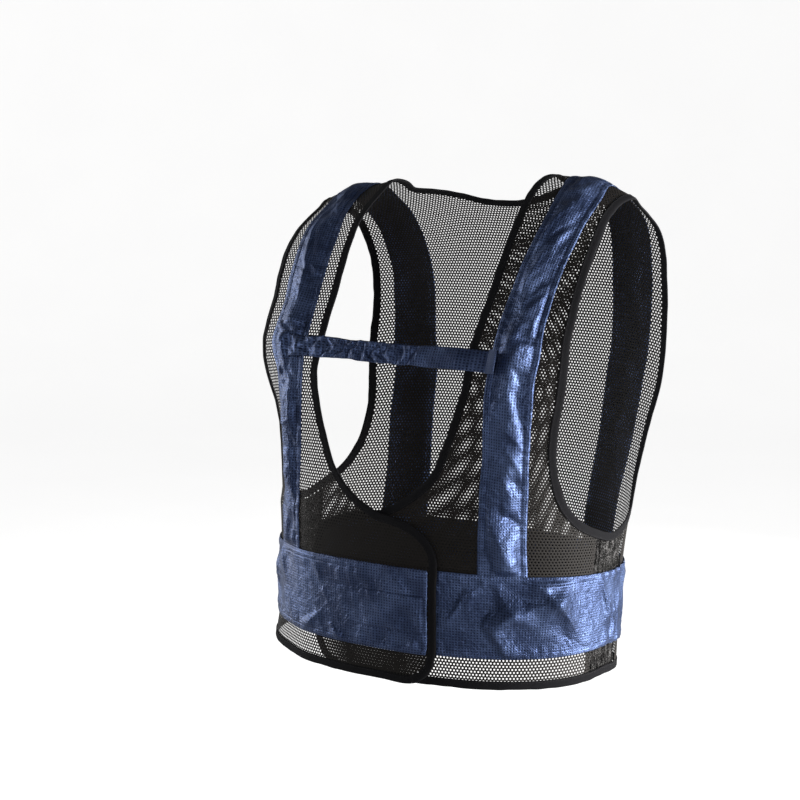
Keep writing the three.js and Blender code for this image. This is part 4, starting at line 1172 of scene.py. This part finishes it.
def strap_loop():
    rows, columns = LOOP_GRID
    ends = strap_points(np.array([STRAP_FREE_REACH + 0.001, 1.0]), np.array([0.5, 0.5]), np.zeros(2))
    width = LOOP_WIDTH * (1 - STRAP_FREE_REACH) / np.linalg.norm(ends[1] - ends[0])
    stations = np.linspace(1 - width, 1.004, columns)
    heights = np.linspace(-LOOP_OVERHANG, 1 + LOOP_OVERHANG, rows)
    height, station = np.meshgrid(heights, stations, indexing="ij")
    body = LOOP_LIFT + LOOP_BULGE * np.sin(np.pi * np.clip(height, 0, 1))
    outer = strap_points(station, height, body + 1.0)
    inner = strap_points(station, height, body)
    across = (station - stations[0]) / (stations[-1] - stations[0]) * LOOP_WIDTH
    obj = thick_sheet("strap_loop_web", outer, inner, (across, height * STRAP_HEIGHT), LOOP_WEB, "loop",
                      "strap_loop")
    outward = unit(outer - inner)
    lines = [(outer[:, column], outward[:, column]) for column in LOOP_SEAM_COLUMNS]
    thread = stitches("strap_loop_stitches", lines, BLUE_THREAD, "loop", 2.0)


# Stage, lights and camera

FLOOR_LEVEL = -0.95
FLOOR_REACH = 5.0             # level that far, then curved up to the backdrop
FLOOR_CURVE = 2.5
BACKDROP_TOP = 6.0
FLOOR_GRID = (40, 96)
BACKDROP_GLOW = 0.88
VEST_MIDDLE = (0, 0, -0.25)
WORLD_LIGHT = 0.12


def stage():
    rings, sides = FLOOR_GRID
    profile = []
    for share in np.linspace(0, 1, rings):
        angle = max(share - 0.5, 0) * math.pi
        level = min(share * 2, 1) * FLOOR_REACH
        profile.append((level + FLOOR_CURVE * math.sin(angle), FLOOR_CURVE * (1 - math.cos(angle))))
    profile.append((FLOOR_REACH + FLOOR_CURVE, BACKDROP_TOP))
    radius, rise = np.array(profile).T[..., None]
    around = np.linspace(0, 2 * math.pi, sides, endpoint=False)
    points = np.stack(np.broadcast_arrays(radius * np.cos(around), radius * np.sin(around),
                                          FLOOR_LEVEL + rise), -1)
    index = np.arange(len(profile) * sides).reshape(len(profile), sides)
    a, b = index[:-1], index[1:]
    quads = np.stack([a, np.roll(a, -1, 1), np.roll(b, -1, 1), b], -1).reshape(-1, 4)
    look = Look("backdrop", (0.35, 0.35, 0.35), 0.95)
    share = look.ramp(look.noise(look.place, 3.0), 0.3, 0.7)
    look.set("Base Color", look.mix(share, (0.33, 0.33, 0.33), (0.37, 0.37, 0.37)))
    # The backdrop is lit by itself, as in a studio, and throws little of that light on the vest.
    seen = look.nodes.new("ShaderNodeLightPath").outputs["Is Camera Ray"]
    look.set("Emission Color", (1, 1, 1))
    look.set("Emission Strength", look.math("MULTIPLY", seen, BACKDROP_GLOW))
    mesh_object("floor", points.reshape(-1, 3), quads, None, look.material)


def area_light(name, place, size, watts, colour):
    light = bpy.data.lights.new(name, "AREA")
    light.shape = "RECTANGLE"
    light.size, light.size_y = size
    light.energy = watts
    light.color = colour
    obj = add_object(name, light)
    obj.location = place
    obj.rotation_euler = (Vector(VEST_MIDDLE) - Vector(place)).to_track_quat("-Z", "Y").to_euler()
    obj.visible_camera = False


def round_the_vest(azimuth, elevation, distance):
    """A place seen from the vest's middle; azimuth 0 is in front and 90 to the wearer's left."""
    a, e = math.radians(azimuth), math.radians(elevation)
    return (distance * math.sin(a) * math.cos(e), -distance * math.cos(a) * math.cos(e),
            distance * math.sin(e) + VEST_MIDDLE[2])


def lights():
    for name, place, size, watts, colour in (
        # name, (azimuth, elevation, distance), size, watts, colour
        ("key", (104, 6, 2.2), (1.0, 1.5), 172, (1.0, 0.985, 0.96)),
        ("left_key", (-84, 6, 2.4), (1.4, 1.6), 42, (0.97, 0.985, 1.0)),
        ("front_fill", (20, 8, 3.0), (0.8, 1.2), 21, (1.0, 1.0, 1.0)),
        ("back_fill", (182, 8, 3.0), (1.4, 1.2), 20, (1.0, 1.0, 1.0)),
    ):
        area_light(name, round_the_vest(*place), size, watts, colour)
    world = bpy.data.worlds.new("studio")
    bpy.context.scene.world = world
    world.use_nodes = True
    background = world.node_tree.nodes["Background"].inputs
    background["Color"].default_value = (1, 1, 1, 1)
    background["Strength"].default_value = WORLD_LIGHT
    bpy.context.scene.view_settings.view_transform = "Standard"


CAMERA_AZIMUTH = 32.993
CAMERA_ELEVATION = 7.306
CAMERA_ROLL = 1.085
CAMERA_PLACE = (1.00383, -1.66601, 0.02881)
CAMERA_FOCAL = 1974.6     # pixels of the frame
FRAME_PIXELS = 800
SENSOR_WIDTH = 36


def camera():
    data = bpy.data.cameras.new("camera")
    data.sensor_width = SENSOR_WIDTH
    data.lens = CAMERA_FOCAL / FRAME_PIXELS * SENSOR_WIDTH
    data.clip_start, data.clip_end = 0.05, 60
    obj = add_object("camera", data)
    az, el, roll = (math.radians(x) for x in (CAMERA_AZIMUTH, CAMERA_ELEVATION, CAMERA_ROLL))
    forward = Vector((-math.sin(az) * math.cos(el), math.cos(az) * math.cos(el), -math.sin(el)))
    level = Vector((math.cos(az), math.sin(az), 0))
    upright = level.cross(forward)
    right = level * math.cos(roll) + upright * math.sin(roll)
    up = upright * math.cos(roll) - level * math.sin(roll)
    basis = Matrix((right, up, -forward)).transposed()
    obj.matrix_world = Matrix.Translation(CAMERA_PLACE) @ basis.to_4x4()
    bpy.context.scene.camera = obj


net_sheets()
side_elastic(1, "left", 31)
side_elastic(-1, "right", 37)
tapes()
shoulder_duct(1, "left", 101)
shoulder_duct(-1, "right", 151)
front_band(1, "left", 201)
front_band(-1, "right", 231)
back_band(261)
chest_strap()
strap_loop()
stage()
lights()
camera()
